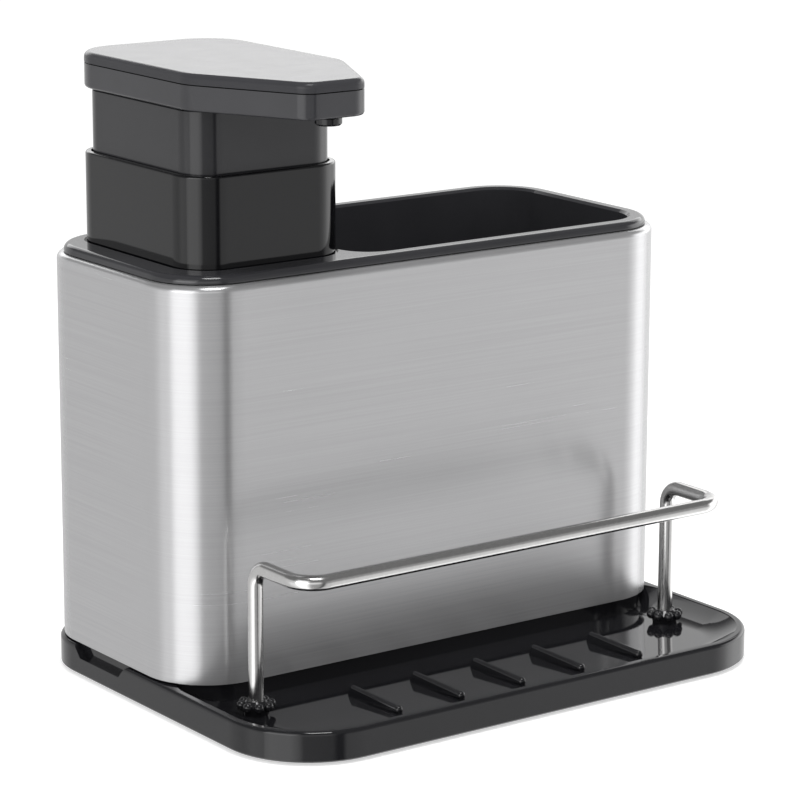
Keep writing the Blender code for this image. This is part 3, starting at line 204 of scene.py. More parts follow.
# Pump collar on the deck
COLLAR_WIDTH = 51.6 * MM
COLLAR_SIDE_MARGIN = 10.4 * MM
COLLAR_FRONT_MARGIN = 10.3 * MM
COLLAR_BACK_MARGIN = 5.9 * MM
DECK_SIDE_GAP = 0.8 * MM
COLLAR_CORNER = 11 * MM
COLLAR_HEIGHT = 26 * MM
COLLAR_WALL = 1.6 * MM
COLLAR_EDGE = 0.7 * MM
COLLAR_PLATE = 3 * MM
COLLAR_PLATE_RISE = 1.2 * MM
WELL_INSET = 2.4 * MM
SPIGOT_GAP = 0.5 * MM
SPIGOT_WALL = 2 * MM
SPIGOT_LENGTH = 11.8 * MM
GASKET_HEIGHT = 2.4 * MM
GASKET_GROOVE_DEPTH = 1.2 * MM
GASKET_DROP = 4 * MM
GASKET_EDGE = 0.3 * MM

# Pump barrel, cap and dip tube on the pump axis
BARREL_RADIUS = 11 * MM
BARREL_BORE = 9 * MM
BARREL_FLANGE = 15 * MM
BARREL_FLANGE_HEIGHT = 2 * MM
BARREL_HEADROOM = 7.3 * MM
BARREL_FLOOR = 2 * MM
CAGE_RADIUS = 4.2 * MM
CAGE_HEIGHT = 8 * MM
SEAT_RADIUS = 2 * MM
NECK_RADIUS = 5.5 * MM
NECK_THROAT = 3.3 * MM
NECK_SOCKET = 10.5 * MM
NECK_CONE = 5 * MM
DIP_RADIUS = 3 * MM
DIP_BORE = 2 * MM
DIP_OFF_FLOOR = 3 * MM
CAP_RADIUS = 17.5 * MM
CAP_HEIGHT = 7.7 * MM
CAP_EDGE = 0.8 * MM

# Piston, stem and spring
STROKE = 14 * MM
PISTON_ROOM = 2 * MM
STEM_RADIUS = 4 * MM
STEM_BORE = 2.2 * MM
STEM_RISE = 1.4 * MM
PISTON_HEIGHT = 16 * MM
PISTON_CHAMBER_TOP = 9.5 * MM
SPRING_RADIUS = 8 * MM
SPRING_WIRE = 0.6 * MM
SPRING_TURNS = 7
SPRING_STEPS = 28

# Press head
HEAD_SIDE_OVERHANG = 0.1 * MM
HEAD_BACK_OVERHANG = 1.8 * MM
HEAD_TAPER_SETBACK = 3.2 * MM
HEAD_NOSE_LENGTH = 30.8 * MM
PRESS_ROOM = 4 * MM
HEAD_NOSE_WIDTH = 18.4 * MM
HEAD_BACK_CORNER = 14 * MM
HEAD_TAPER_CORNER = 14 * MM
HEAD_NOSE_CORNER = 6.2 * MM
HEAD_BODY_HEIGHT = 6.9 * MM
HEAD_COVER_HEIGHT = 2.9 * MM
HEAD_WALL = 1.6 * MM
HEAD_EDGE = 0.9 * MM
COVER_EDGE = 1.7 * MM
COVER_PLATE = 1.6 * MM
COVER_TONGUE = 1.2 * MM
COVER_TONGUE_WIDTH = 1 * MM
SKIRT_INSET = 2.2 * MM
SKIRT_WALL = 1.6 * MM
SKIRT_PLATE = 2.5 * MM
SKIRT_ROOM = 1.8 * MM
SKIRT_EDGE = 0.6 * MM

# Nozzle, and the soap channel's height that it reaches up to
CONNECTOR_HEIGHT = 5.2 * MM
CHANNEL_LIFT = 3.1 * MM
NOZZLE_RADIUS = 3.7 * MM
NOZZLE_BORE = 1.4 * MM
NOZZLE_PORT = 0.9 * MM
NOZZLE_INSET = 4.5 * MM
NOZZLE_DROP = 2.2 * MM
NOZZLE_EDGE = 0.5 * MM
NOZZLE_SPIGOT = 2.4 * MM

# Plan sizes and places that follow from these
TRAY_DEPTH = SHELF_DEPTH + HOUSING_DEPTH + TRAY_BACK_MARGIN
TRAY_FRONT = -TRAY_DEPTH / 2
HOUSING_WIDTH = TRAY_WIDTH - 2 * TRAY_SIDE_MARGIN
HOUSING_FRONT = TRAY_FRONT + SHELF_DEPTH
HOUSING_Y = HOUSING_FRONT + HOUSING_DEPTH / 2
FOOT_FRONT = (TRAY_WIDTH / 2 - FOOT_FRONT_SIDE, TRAY_FRONT + FOOT_FRONT_MARGIN)
FOOT_BACK = (TRAY_WIDTH / 2 - FOOT_BACK_SIDE, TRAY_DEPTH / 2 - FOOT_BACK_MARGIN)
RAIL_HALF_WIDTH = TRAY_WIDTH / 2 - RAIL_SIDE
RAIL_BAR_Y = TRAY_FRONT + RAIL_BAR_MARGIN
RAIL_POST_Y = HOUSING_FRONT - POST_BACK_GAP
COLLAR_DEPTH = HOUSING_DEPTH - COLLAR_FRONT_MARGIN - COLLAR_BACK_MARGIN
PUMP_X = COLLAR_SIDE_MARGIN + COLLAR_WIDTH / 2 - HOUSING_WIDTH / 2
PUMP_Y = HOUSING_FRONT + COLLAR_FRONT_MARGIN + COLLAR_DEPTH / 2
POCKET_LEFT = PUMP_X + COLLAR_WIDTH / 2 - WELL_INSET + 2 * LINER_WALL - WALL_LAP
POCKET_RIGHT = HOUSING_WIDTH / 2 - POCKET_INSET
HEAD_WIDTH = COLLAR_WIDTH + 2 * HEAD_SIDE_OVERHANG
HEAD_BACK = COLLAR_DEPTH / 2 + HEAD_BACK_OVERHANG
HEAD_TAPER = COLLAR_DEPTH / 2 - HEAD_TAPER_SETBACK
HEAD_NOSE = COLLAR_DEPTH / 2 + HEAD_NOSE_LENGTH
NOZZLE_Y = PUMP_Y - HEAD_NOSE + NOZZLE_INSET
POST_HOLE = WIRE_RADIUS + POST_CLEARANCE
STEM_HOLE = STEM_RADIUS + SEAT_GAP
GROOVE_INSET = WELL_INSET + SPIGOT_GAP + GASKET_GROOVE_DEPTH

# Heights that follow from them, from the ground up
TRAY_TOP = TRAY_BOTTOM + TRAY_HEIGHT
RIB_TOP = TRAY_TOP - RIB_DROP
RAIL_HEIGHT = TRAY_TOP + RAIL_RISE
POST_BOSS_BOTTOM = TRAY_BOTTOM + POST_BOSS_LIFT
NUT_TOP = POST_BOSS_BOTTOM - SEAT_GAP
NUT_BOTTOM = NUT_TOP - NUT_THICKNESS - NUT_CONE
RAIL_FOOT = NUT_BOTTOM - POST_PROUD
PLINTH_TOP = TRAY_TOP + PLINTH_RISE
HOUSING_BOTTOM = TRAY_TOP + SHADOW_GAP
HOUSING_TOP = HOUSING_BOTTOM + HOUSING_HEIGHT
RIM_BOTTOM = HOUSING_TOP + SEAT_GAP
RIM_TOP = RIM_BOTTOM + RIM_HEIGHT
DECK_TOP = RIM_TOP - DECK_DROP
LINER_BOTTOM = PLINTH_TOP + SEAT_GAP
WELL_FLOOR = LINER_BOTTOM + LINER_FLOOR
COLLAR_BOTTOM = DECK_TOP + SEAT_GAP
COLLAR_TOP = COLLAR_BOTTOM + COLLAR_HEIGHT
PLATE_TOP = COLLAR_BOTTOM + COLLAR_PLATE_RISE
FLANGE_BOTTOM = PLATE_TOP + SEAT_GAP
BARREL_TOP = FLANGE_BOTTOM + BARREL_FLANGE_HEIGHT
PISTON_LIFT = STROKE + PISTON_ROOM
CAGE_TOP = BARREL_TOP - BARREL_HEADROOM - PISTON_HEIGHT - PISTON_LIFT
CAGE_BOTTOM = CAGE_TOP - CAGE_HEIGHT
SEAT_LOW = CAGE_BOTTOM - (CAGE_RADIUS - SEAT_RADIUS)
SOCKET_TOP = SEAT_LOW - (NECK_THROAT - SEAT_RADIUS)
CAP_TOP = FLANGE_BOTTOM + CAP_HEIGHT
PISTON_BOTTOM = CAGE_TOP + PISTON_LIFT
CHAMBER_TOP = PISTON_BOTTOM + PISTON_CHAMBER_TOP
HEAD_BOTTOM = COLLAR_TOP + STROKE + PRESS_ROOM
SKIRT_BOTTOM = PLATE_TOP + STROKE + SKIRT_ROOM
SKIRT_TOP = HEAD_BOTTOM - SEAT_GAP
HEAD_FLOOR_TOP = HEAD_BOTTOM + HEAD_WALL
SEAM = HEAD_BOTTOM + HEAD_BODY_HEIGHT
COVER_BOTTOM = SEAM + SEAT_GAP
COVER_TOP = COVER_BOTTOM + HEAD_COVER_HEIGHT
CHANNEL_Z = HEAD_FLOOR_TOP + CHANNEL_LIFT
STEM_TOP = HEAD_FLOOR_TOP + STEM_RISE

# Axes, angles and shading
EDGE_ANGLE = math.radians(60)
FLAT_ANGLE = math.radians(1)
PUMP_AXIS = (PUMP_X, PUMP_Y)
HOUSING_CENTRE = (0, HOUSING_Y)
SHARP_ANGLE = math.radians(32)
NORMAL_WEIGHT = 80

# Textures: scales per metre, depths in metres and shares of the roughness
NOISE_RANGE = (0.3, 0.7)
CLOUD_SCALE = 35
GLOSS_SCALE = 150
GRAIN_DEPTH = 0.00004
SCRATCH_DEPTH = 0.00003
SCRATCH_ROUGHNESS = 0.08
BROAD_SCALE = 14
BROAD_STRETCH = (1, 1, 2.5)
BROAD_ROUGHNESS = 0.015
QUARTER_TURN = 0.25

# Camera, fitted to the photograph: place and clipping in metres, lens in millimetres
CAMERA_AZIMUTH = math.radians(-35.92)
CAMERA_ELEVATION = math.radians(13.49)
CAMERA_ROLL = math.radians(0.17)
CAMERA_PLACE = (-0.5488, -0.7541, 0.3012)
CAMERA_LENS = 150.3
SENSOR_WIDTH = 36
CLIP_RANGE = (0.01, 20)

# Floor and world, as brightness where white is 1
FLOOR_SIZE = 6
FLOOR_COLOUR = (0.8, 0.8, 0.8)
FLOOR_GLOW = 0.54
WORLD_FILL = 0.62
GLOW_SCALE = 4

# What reflections see: brightness by azimuth near the horizon and higher up, and overhead
LOW_GLOW = (
    (-180, 1.6), (-172, 1.9), (-148, 1.85), (-138, 1.25), (-132, 0.5), (-98, 0.4), (-92, 0.06),
    (-86, 0.06), (-80, 0.75), (-54, 0.85), (-42, 1.05), (-30, 1.5), (-20, 2.1), (-8, 2.0),
    (10, 1.2), (54, 0.8), (126, 0.73), (150, 0.78), (163, 1.15),
)
HIGH_GLOW = (
    (-180, 2.0), (-172, 2.6), (-148, 2.6), (-134, 1.1), (-100, 1.0), (-92, 0.1), (-86, 0.1),
    (-78, 0.4), (-40, 0.4), (-25, 2.3), (10, 2.4), (35, 1.3), (54, 0.95), (126, 0.7),
    (155, 0.8),
)
TOP_GLOW = 0.2
LOW_TO_HIGH = (-0.12, 0.06)
HIGH_TO_TOP = (0.26, 0.5)

# Soft boxes: name, azimuth in degrees, distance out, height, size and brightness
PANELS = (
    ("left_panel", 202, 0.9, 0.5, (0.6, 0.6), 1.2),
    ("back_panel", 54, 0.3, 0.27, (0.6, 0.15), 1.26),
    ("top_panel", 250, 0.3, 0.95, (0.3, 0.3), 10),
)
AIM_HEIGHT = 0.08


# Shader helpers


def new_material(name, colour, metallic, roughness):
    material = bpy.data.materials.new(name)
    material.use_nodes = True
    material.diffuse_color = (*colour, 1)
    shader = material.node_tree.nodes["Principled BSDF"]
    inputs = {"Base Color": (*colour, 1), "Metallic": metallic, "Roughness": roughness}
    connect(material.node_tree, shader, inputs)
    return material, shader


def connect(tree, node, inputs):
    """Links each input to a socket, or sets it to a value."""
    for name, value in inputs.items():
        if isinstance(value, bpy.types.NodeSocket):
            tree.links.new(value, node.inputs[name])
        else:
            node.inputs[name].default_value = value


def add_node(tree, kind, inputs=None, **settings):
    """A shader node with its settings made and its inputs connected."""
    node = tree.nodes.new(f"ShaderNode{kind}")
    for name, value in settings.items():
        setattr(node, name, value)
    connect(tree, node, inputs or {})
    return node


def calculate(tree, operation, first, second):
    return add_node(tree, "Math", {0: first, 1: second}, operation=operation).outputs[0]


def map_range(tree, value, source, target=(0, 1), kind="LINEAR"):
    """Carries a value over from one range to another."""
    inputs = {"Value": value, "From Min": source[0], "From Max": source[1]}
    inputs |= {"To Min": target[0], "To Max": target[1]}
    return add_node(tree, "MapRange", inputs, interpolation_type=kind).outputs["Result"]


def mix(tree, share, first, second):
    """Goes from the first colour to the second by a share."""
    inputs = {"Factor": share, "A": first, "B": second}
    return add_node(tree, "Mix", inputs, data_type="RGBA").outputs["Result"]


def noise(tree, scale, stretch=(1, 1, 1), detail=3.0, roughness=0.5):
    """A noise texture in the part's own metres, stretched per axis."""
    place = add_node(tree, "TexCoord").outputs["Object"]
    mapping = add_node(tree, "Mapping", {"Vector": place, "Scale": stretch})
    inputs = {"Vector": mapping.outputs["Vector"], "Scale": scale}
    inputs |= {"Detail": detail, "Roughness": roughness}
    return add_node(tree, "TexNoise", inputs).outputs["Fac"]


def varied_colour(tree, texture, colour, share):
    """The colour, darker and lighter by a share as a texture goes."""
    darker, lighter = [(*(min(c * tint, 1) for c in colour), 1) for tint in (1 - share, 1 + share)]
    return mix(tree, map_range(tree, texture, NOISE_RANGE), darker, lighter)


def varied_roughness(tree, texture, roughness, share):
    target = (roughness * (1 - share), roughness * (1 + share))
    return map_range(tree, texture, NOISE_RANGE, target)


def bump(tree, height, strength, distance):
    inputs = {"Height": height, "Strength": strength, "Distance": distance}
    return add_node(tree, "Bump", inputs).outputs["Normal"]


def plastic(name, colour, roughness, grain, grain_scale=1800, variation=0.1, ior=1.5):
    """Moulded plastic: faint clouding in the colour, uneven gloss and a fine skin."""
    material, shader = new_material(name, colour, 0, roughness)
    tree = material.node_tree
    cloud, gloss = noise(tree, CLOUD_SCALE, detail=4), noise(tree, GLOSS_SCALE, detail=5)
    inputs = {
        "IOR": ior,
        "Base Color": varied_colour(tree, cloud, colour, variation),
        "Roughness": varied_roughness(tree, gloss, roughness, variation / 2),
        "Normal": bump(tree, noise(tree, grain_scale, detail=2), grain, GRAIN_DEPTH),
    }
    connect(tree, shader, inputs)
    return material


def brushed_steel(name, colour, roughness, stretch, streak, relief=0.08, anisotropic=0.0, haze=0.0):
    """Steel with fine parallel scratches along the directions that the stretch leaves long.

    Haze is the share of the surface that scatters light as paint does, in place of metal.
    """
    material, shader = new_material(name, colour, 1 - haze, roughness)
    tree = material.node_tree
    fine = noise(tree, 1, stretch, detail=4, roughness=0.6)
    broad = noise(tree, BROAD_SCALE, BROAD_STRETCH, detail=3)
    clouded = map_range(tree, broad, NOISE_RANGE, (-BROAD_ROUGHNESS, BROAD_ROUGHNESS))
    uneven = varied_roughness(tree, fine, roughness, SCRATCH_ROUGHNESS)
    inputs = {
        "Base Color": varied_colour(tree, fine, colour, streak),
        "Roughness": calculate(tree, "ADD", uneven, clouded),
        "Normal": bump(tree, fine, relief, SCRATCH_DEPTH),
    }
    if anisotropic:
        tangent = add_node(tree, "Tangent", direction_type="RADIAL", axis="Z")
        inputs["Tangent"] = tangent.outputs["Tangent"]
        inputs |= {"Anisotropic": anisotropic, "Anisotropic Rotation": QUARTER_TURN}
    connect(tree, shader, inputs)
    return material


LOOKS = {
    "tray": plastic("tray_black", (0.013, 0.013, 0.015), 0.06, 0.02),
    "liner": plastic("liner_black", (0.038, 0.038, 0.042), 0.1, 0.02),
    "collar": plastic("collar_black", (0.005, 0.005, 0.006), 0.08, 0.03),
    "skirt": plastic("skirt_black", (0.026, 0.026, 0.029), 0.09, 0.03),
    "head": plastic("head_black", (0.046, 0.046, 0.051), 0.12, 0.04),
    "lid": plastic("lid_black", (0.053, 0.053, 0.058), 0.24, 0.05, 2600, 0.05, 1.28),
    "foot_rubber": plastic("foot_rubber", (0.03, 0.03, 0.03), 0.75, 0.5, 2500),
    "seal_rubber": plastic("seal_rubber", (0.06, 0.06, 0.06), 0.6, 0.3, 2500),
    "inner": plastic("natural_polypropylene", (0.74, 0.74, 0.71), 0.38, 0.1, 1200, 0.04),
    "tube": plastic("clear_polyethylene", (0.68, 0.70, 0.69), 0.3, 0.08, 1200, 0.05),
    "steel": brushed_steel(
        "brushed_steel",
        (0.55, 0.55, 0.557),
        0.247,
        stretch=(12, 12, 2200),
        streak=0.055,
        relief=0.006,
        anisotropic=0.7,
        haze=0.31,
    ),
    "rail": brushed_steel("rail_steel", (0.64, 0.635, 0.63), 0.19, (900, 900, 900), 0.04),
    "nut": brushed_steel("nut_steel", (0.52, 0.52, 0.52), 0.35, (2200, 2200, 300), 0.08),
    "spring": brushed_steel("spring_steel", (0.56, 0.56, 0.56), 0.3, (1500, 1500, 1500), 0.06),
    "ball": brushed_steel("ball_steel", (0.72, 0.72, 0.72), 0.1, (700, 700, 700), 0.03),
}
NODE_LOOKS = {
    "inlet_retainer": "inner",
    "piston": "inner",
    "stem_connector": "inner",
    "soap_channel": "tube",
    "piston_seal": "seal_rubber",
    "inlet_ball": "ball",
    "outlet_ball": "ball",
}


def dress_nodes():
    for name, look in NODE_LOOKS.items():
        mesh = NODES[name].data
        mesh.materials.clear()
        mesh.materials.append(LOOKS[look])


# Fine pieces


def add_to_scene(name, data):
    item = bpy.data.objects.new(name, data)
    bpy.context.scene.collection.objects.link(item)
    return item


def settle(item, node):
    """Applies a piece's modifiers, gives it its material and lets it stand for its node."""
    bpy.context.view_layer.update()
    graph = bpy.context.evaluated_depsgraph_get()
    mesh = bpy.data.meshes.new_from_object(item.evaluated_get(graph))
    mesh.transform(item.matrix_world)
    mesh.materials.clear()
    mesh.materials.append(LOOKS[item["look"]])
    mesh.shade_smooth()
    mesh.set_sharp_from_angle(angle=SHARP_ANGLE)
    piece = add_to_scene(f"{node}_fine", mesh)
    even = piece.modifiers.new("Even shading", "WEIGHTED_NORMAL")
    even.keep_sharp = True
    even.weight = NORMAL_WEIGHT
    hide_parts(node)
    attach(piece, BODY_OF[node])
    return piece


def settle_all():
    for item in list(PRODUCT.objects):
        piece = settle(item, item["node"])
        if item["node"] == "return_spring":
            coil_up(piece)
    for group in (PRODUCT, CUTTERS):
        for item in list(group.objects):
            bpy.data.objects.remove(item, do_unlink=True)
        bpy.data.collections.remove(group)


# Objects and modifiers


def start_group(name):
    group = bpy.data.collections.new(name)
    bpy.context.scene.collection.children.link(group)
    return group


PRODUCT, CUTTERS = start_group("fine_pieces"), start_group("fine_cutters")


def add_object(name, data, look=None):
    """Links data as a piece, named by its node, or as a cutter when it has no look."""
    item = bpy.data.objects.new(name, data)
    if look:
        PRODUCT.objects.link(item)
        item["look"] = look
        item["node"] = name
    else:
        CUTTERS.objects.link(item)
    return item


def finish_mesh(shape, name):
    mesh = bpy.data.meshes.new(name)
    shape.to_mesh(mesh)
    shape.free()
    return mesh


def combine(item, other, operation):
    step = item.modifiers.new(f"{operation.title()} {other.name}", "BOOLEAN")
    step.operation = operation
    step.solver = "EXACT"
    step.object = other


def cut(item, *cutters):
    for cutter in cutters:
        combine(item, cutter, "DIFFERENCE")


def add(item, *extras):
    for extra in extras:
        combine(item, extra, "UNION")


def bevel(item, width, steps):
    step = item.modifiers.new("Rounded edge", "BEVEL")
    step.width = width
    step.segments = steps
    return step


def round_corners_over(item, width, steps=FILLET_STEPS):
    """Rounds every edge where a wall meets a flat end."""
    step = bevel(item, width, steps)
    step.limit_method = "ANGLE"
    step.angle_limit = EDGE_ANGLE


def round_edge_at(item, height, width, steps=FILLET_STEPS):
    """Rounds only the edge that runs level round a slab at a height."""
    group = item.vertex_groups.new(name="Edge")
    chosen = []
    for vertex in item.data.vertices:
        if abs(vertex.co.z + item.location.z - height) < WELD:
            chosen.append(vertex.index)
    group.add(chosen, 1, "REPLACE")
    step = bevel(item, width, steps)
    step.limit_method = "VGROUP"
    step.vertex_group = group.name


def solidify(item, thickness):
    """Thickens an open surface inwards."""
    step = item.modifiers.new("Wall", "SOLIDIFY")
    step.thickness = thickness
    step.offset = -1
    step.use_even_offset = True
    step.use_quality_normals = True


def rectangle(left, front, right, back):
    """Four corners, anticlockwise from the front left."""
    return [(left, front), (right, front), (right, back), (left, back)]


def on_circle(centre, radius, angle):
    return centre[0] + radius * math.cos(angle), centre[1] + radius * math.sin(angle)


def spaced(count, spacing):
    """Places along a row, about its middle."""
    return [(index - (count - 1) / 2) * spacing for index in range(count)]


def corner_arms(corners, index):
    """A corner, and the directions to the one before it and the one after it."""
    here, following = Vector(corners[index]), Vector(corners[(index + 1) % len(corners)])
    return here, (Vector(corners[index - 1]) - here).normalized(), (following - here).normalized()


def rounded_outline(corners, radii, inset=0.0):
    """Points round a convex outline with rounded corners, moved inwards by inset."""
    points = []
    for index, corner_radius in enumerate(radii):
        here, before, after = corner_arms(corners, index)
        half_angle = before.angle(after) / 2
        inwards = (before + after).normalized()
        radius = max(corner_radius - inset, LEAST_RADIUS)
        centre = here + inwards * ((inset + radius) / math.sin(half_angle))
        sweep = math.pi - 2 * half_angle
        start = math.atan2(-inwards.y, -inwards.x) - sweep / 2
        for step in range(CORNER_STEPS):
            points.append(on_circle(centre, radius, start + sweep * step / (CORNER_STEPS - 1)))
    return points


def rounded_box(width, depth, corner, inset=0.0):
    corners = rectangle(-width / 2, -depth / 2, width / 2, depth / 2)
    return rounded_outline(corners, [corner] * 4, inset)


def poly_curve(name, dimensions, points):
    curve = bpy.data.curves.new(name, "CURVE")
    curve.dimensions = dimensions
    spline = curve.splines.new("POLY")
    spline.points.add(len(points) - 1)
    for point, place in zip(spline.points, points):
        point.co = (*place, 1)
    return curve, spline


def flat_curve(name, outline, thickness):
    """A filled 2D curve through an outline, extruded to a thickness."""
    curve, spline = poly_curve(name, "2D", [(x, y, 0) for x, y in outline])
    curve.fill_mode = "BOTH"
    curve.extrude = thickness / 2
    spline.use_cyclic_u = True
    return curve


def slab(name, outline, centre, bottom, top, look=None):
    """An outline extruded between two heights, made a mesh so that it can be cut or joined."""
    guide_name = f"outline_{name}"
    guide = bpy.data.objects.new(guide_name, flat_curve(guide_name, outline, top - bottom))
    guide.location = (*centre, (bottom + top) / 2)
    CUTTERS.objects.link(guide)
    bpy.context.view_layer.update()
    graph = bpy.context.evaluated_depsgraph_get()
    mesh = bpy.data.meshes.new_from_object(guide.evaluated_get(graph))
    shape = bmesh.new()
    shape.from_mesh(mesh)
    bmesh.ops.remove_doubles(shape, verts=shape.verts, dist=WELD)
    parts = {"verts": shape.verts, "edges": shape.edges}
    bmesh.ops.dissolve_limit(shape, angle_limit=FLAT_ANGLE, **parts)
    bmesh.ops.recalc_face_normals(shape, faces=shape.faces)
    item = add_object(name, finish_mesh(shape, name), look)
    item.matrix_world = guide.matrix_world
    curve = guide.data
    bpy.data.objects.remove(guide)
    bpy.data.curves.remove(curve)
    bpy.data.meshes.remove(mesh)
    return item


def end_face(shape, direction):
    """The flat face at a slab's top (1) or bottom (-1)."""
    return max(shape.faces, key=lambda face: face.normal.z * direction)


def open_end(item, direction, flange=0.0):
    """Takes a slab's end away, all but a flange of the given width."""
    shape = bmesh.new()
    shape.from_mesh(item.data)
    end = end_face(shape, direction)
    if flange:
        bmesh.ops.inset_region(shape, faces=[end], thickness=flange, use_even_offset=True)
    bmesh.ops.delete(shape, geom=[end], context="FACES_ONLY")
    shape.to_mesh(item.data)
    shape.free()


def primitive(name, create, place, **sizes):
    """A simple solid from one of bmesh's create calls, to cut with or to join on."""
    shape = bmesh.new()
    create(shape, **sizes)
    item = add_object(name, finish_mesh(shape, name))
    item.location = place
    return item


def rod(name, radius, centre, bottom, top, steps=BORE_STEPS):
    sizes = {"segments": steps, "radius1": radius, "radius2": radius, "depth": top - bottom}
    place = (*centre, (bottom + top) / 2)
    return primitive(name, bmesh.ops.create_cone, place, cap_ends=True, **sizes)


def rod_along_y(name, radius, x, z, front, back):
    item = rod(name, radius, (0, 0), front, back)
    item.location = (x, (front + back) / 2, z)
    item.rotation_euler.x = math.pi / 2
    return item


def block(name, low, high):
    low, high = Vector(low), Vector(high)
    scale = Matrix.Diagonal((*(high - low), 1))
    return primitive(name, bmesh.ops.create_cube, (low + high) / 2, size=1, matrix=scale)


def bead(name, place):
    sizes = {"u_segments": BEAD_STEPS, "v_segments": BEAD_RINGS, "radius": BEAD_RADIUS}
    return primitive(name, bmesh.ops.create_uvsphere, place, **sizes)


def turned(name, profile, centre, look=None, ring=False, steps=TURN_STEPS):
    """Turns (radius, height) points about an upright axis, given down the outer side.

    A ring's profile goes on up its inner side and closes on itself.
    """
    shape = bmesh.new()
    points = [shape.verts.new((radius, 0, height)) for radius, height in profile]
    for above, below in zip(points, points[1:]):
        shape.edges.new((above, below))
    if ring:
        shape.edges.new((points[-1], points[0]))
    item = add_object(name, finish_mesh(shape, name), look)
    item.location = (*centre, 0)
    turn = item.modifiers.new("Turn", "SCREW")
    turn.angle = 2 * math.pi
    turn.steps = turn.render_steps = steps
    turn.use_merge_vertices = True
    turn.merge_threshold = WELD
    turn.use_smooth_shade = True
    return item


def tube(name, profile, centre, look, steps=BORE_STEPS):
    return turned(name, profile, centre, look, ring=True, steps=steps)


def rounded_path(corners, bends):
    """Points along straight runs, with an arc at each corner between them."""
    points = [Vector(corners[0])]
    for index, bend in enumerate(bends, 1):
        here, before, after = corner_arms(corners, index)
        half_angle = before.angle(after) / 2
        centre = here + (before + after).normalized() * (bend / math.sin(half_angle))
        run = bend / math.tan(half_angle)
        start, end = here + before * run - centre, here + after * run - centre
        for step in range(BEND_STEPS + 1):
            points.append(centre + start.slerp(end, step / BEND_STEPS).normalized() * bend)
    points.append(Vector(corners[-1]))
    return points


def wire(name, points, radius, resolution, look):
    """A round wire along points."""
    curve, spline = poly_curve(name, "3D", points)
    curve.bevel_depth = radius
    curve.bevel_resolution = resolution
    curve.use_fill_caps = True
    spline.use_smooth = True
    return add_object(name, curve, look)


def dish_outline(inset):
    """The dished floor's outline, drawn in less at the front lip than at the sides."""
    half_width = TRAY_WIDTH / 2 - TRAY_WALL - inset
    front = TRAY_FRONT + TRAY_WALL + inset * DISH_FRONT_RUN / DISH_RUN
    back = HOUSING_FRONT + PLINTH_INSET + DISH_UNDER_PLINTH - inset
    front_corner = TRAY_FRONT_CORNER - TRAY_WALL - inset * DISH_CORNER_SHARE
    radii = [front_corner] * 2 + [DISH_BACK_CORNER - inset] * 2
    return rounded_outline(rectangle(-half_width, front, half_width, back), radii)


def dish_floor_depth(y):
    """How far the flat of the dish lies under the lip: it falls evenly towards the housing."""
    front = TRAY_FRONT + TRAY_WALL + DISH_FRONT_RUN
    back = HOUSING_FRONT + PLINTH_INSET
    return DISH_FRONT_DEPTH + (DISH_BACK_DEPTH - DISH_FRONT_DEPTH) * (y - front) / (back - front)


def dish_loft(name, mouth_height, lowered):
    """The dish as a solid, lofted from its mouth through narrower rings down to a sloping floor."""
    rings = [[(x, y, mouth_height) for x, y in dish_outline(0)]]
    lip = TRAY_TOP - LIP_DROP - lowered
    for step in range(DISH_RUN_STEPS + 1):
        share = step / DISH_RUN_STEPS
        fall = 1 - (1 - share) ** 2
        outline = dish_outline(DISH_RUN * share)
        rings.append([(x, y, lip - fall * dish_floor_depth(y)) for x, y in outline])
    shape = bmesh.new()
    rows = [[shape.verts.new(point) for point in ring] for ring in rings]
    edges = [[shape.edges.new(pair) for pair in zip(row, row[1:] + row[:1])] for row in rows]
    for above, below in zip(edges, edges[1:]):
        bmesh.ops.bridge_loops(shape, edges=above + below)
    shape.faces.new(rows[0])
    shape.faces.new(rows[-1])
    bmesh.ops.recalc_face_normals(shape, faces=shape.faces)
    return add_object(name, finish_mesh(shape, name))


def plinth(name, inset, bottom, top):
    outline = rounded_box(HOUSING_WIDTH, HOUSING_DEPTH, HOUSING_CORNER, PLINTH_INSET + inset)
    item = slab(name, outline, HOUSING_CENTRE, bottom, top)
    round_edge_at(item, top, PLINTH_EDGE, 1)
    return item


def rib(number, x):
    """A drying rib: the hull of a ball at the front, a thin crest and a wider root at the back."""
    front = TRAY_FRONT + RIB_FRONT_MARGIN + RIB_FRONT_RADIUS
    back = HOUSING_FRONT - RIB_BACK_MARGIN - RIB_ROOT_RADIUS
    balls = (
        (RIB_FRONT_RADIUS, front, RIB_TOP - RIB_FRONT_RADIUS),
        (RIB_BACK_RADIUS, back, RIB_TOP - RIB_BACK_RADIUS),
        (RIB_ROOT_RADIUS, back, floor_height(back)),
    )
    shape = bmesh.new()
    for radius, y, z in balls:
        place = Matrix.Translation((x, y, z))
        sizes = {"u_segments": RIB_STEPS, "v_segments": RIB_RINGS, "radius": radius}
        bmesh.ops.create_uvsphere(shape, matrix=place, **sizes)
    bmesh.ops.delete(shape, geom=shape.edges, context="EDGES_FACES")
    bmesh.ops.convex_hull(shape, input=shape.verts)
    loose = [vertex for vertex in shape.verts if not vertex.link_faces]
    bmesh.ops.delete(shape, geom=loose, context="VERTS")
    bmesh.ops.recalc_face_normals(shape, faces=shape.faces)
    name = f"extra_rib_{number}"
    return add_object(name, finish_mesh(shape, name))


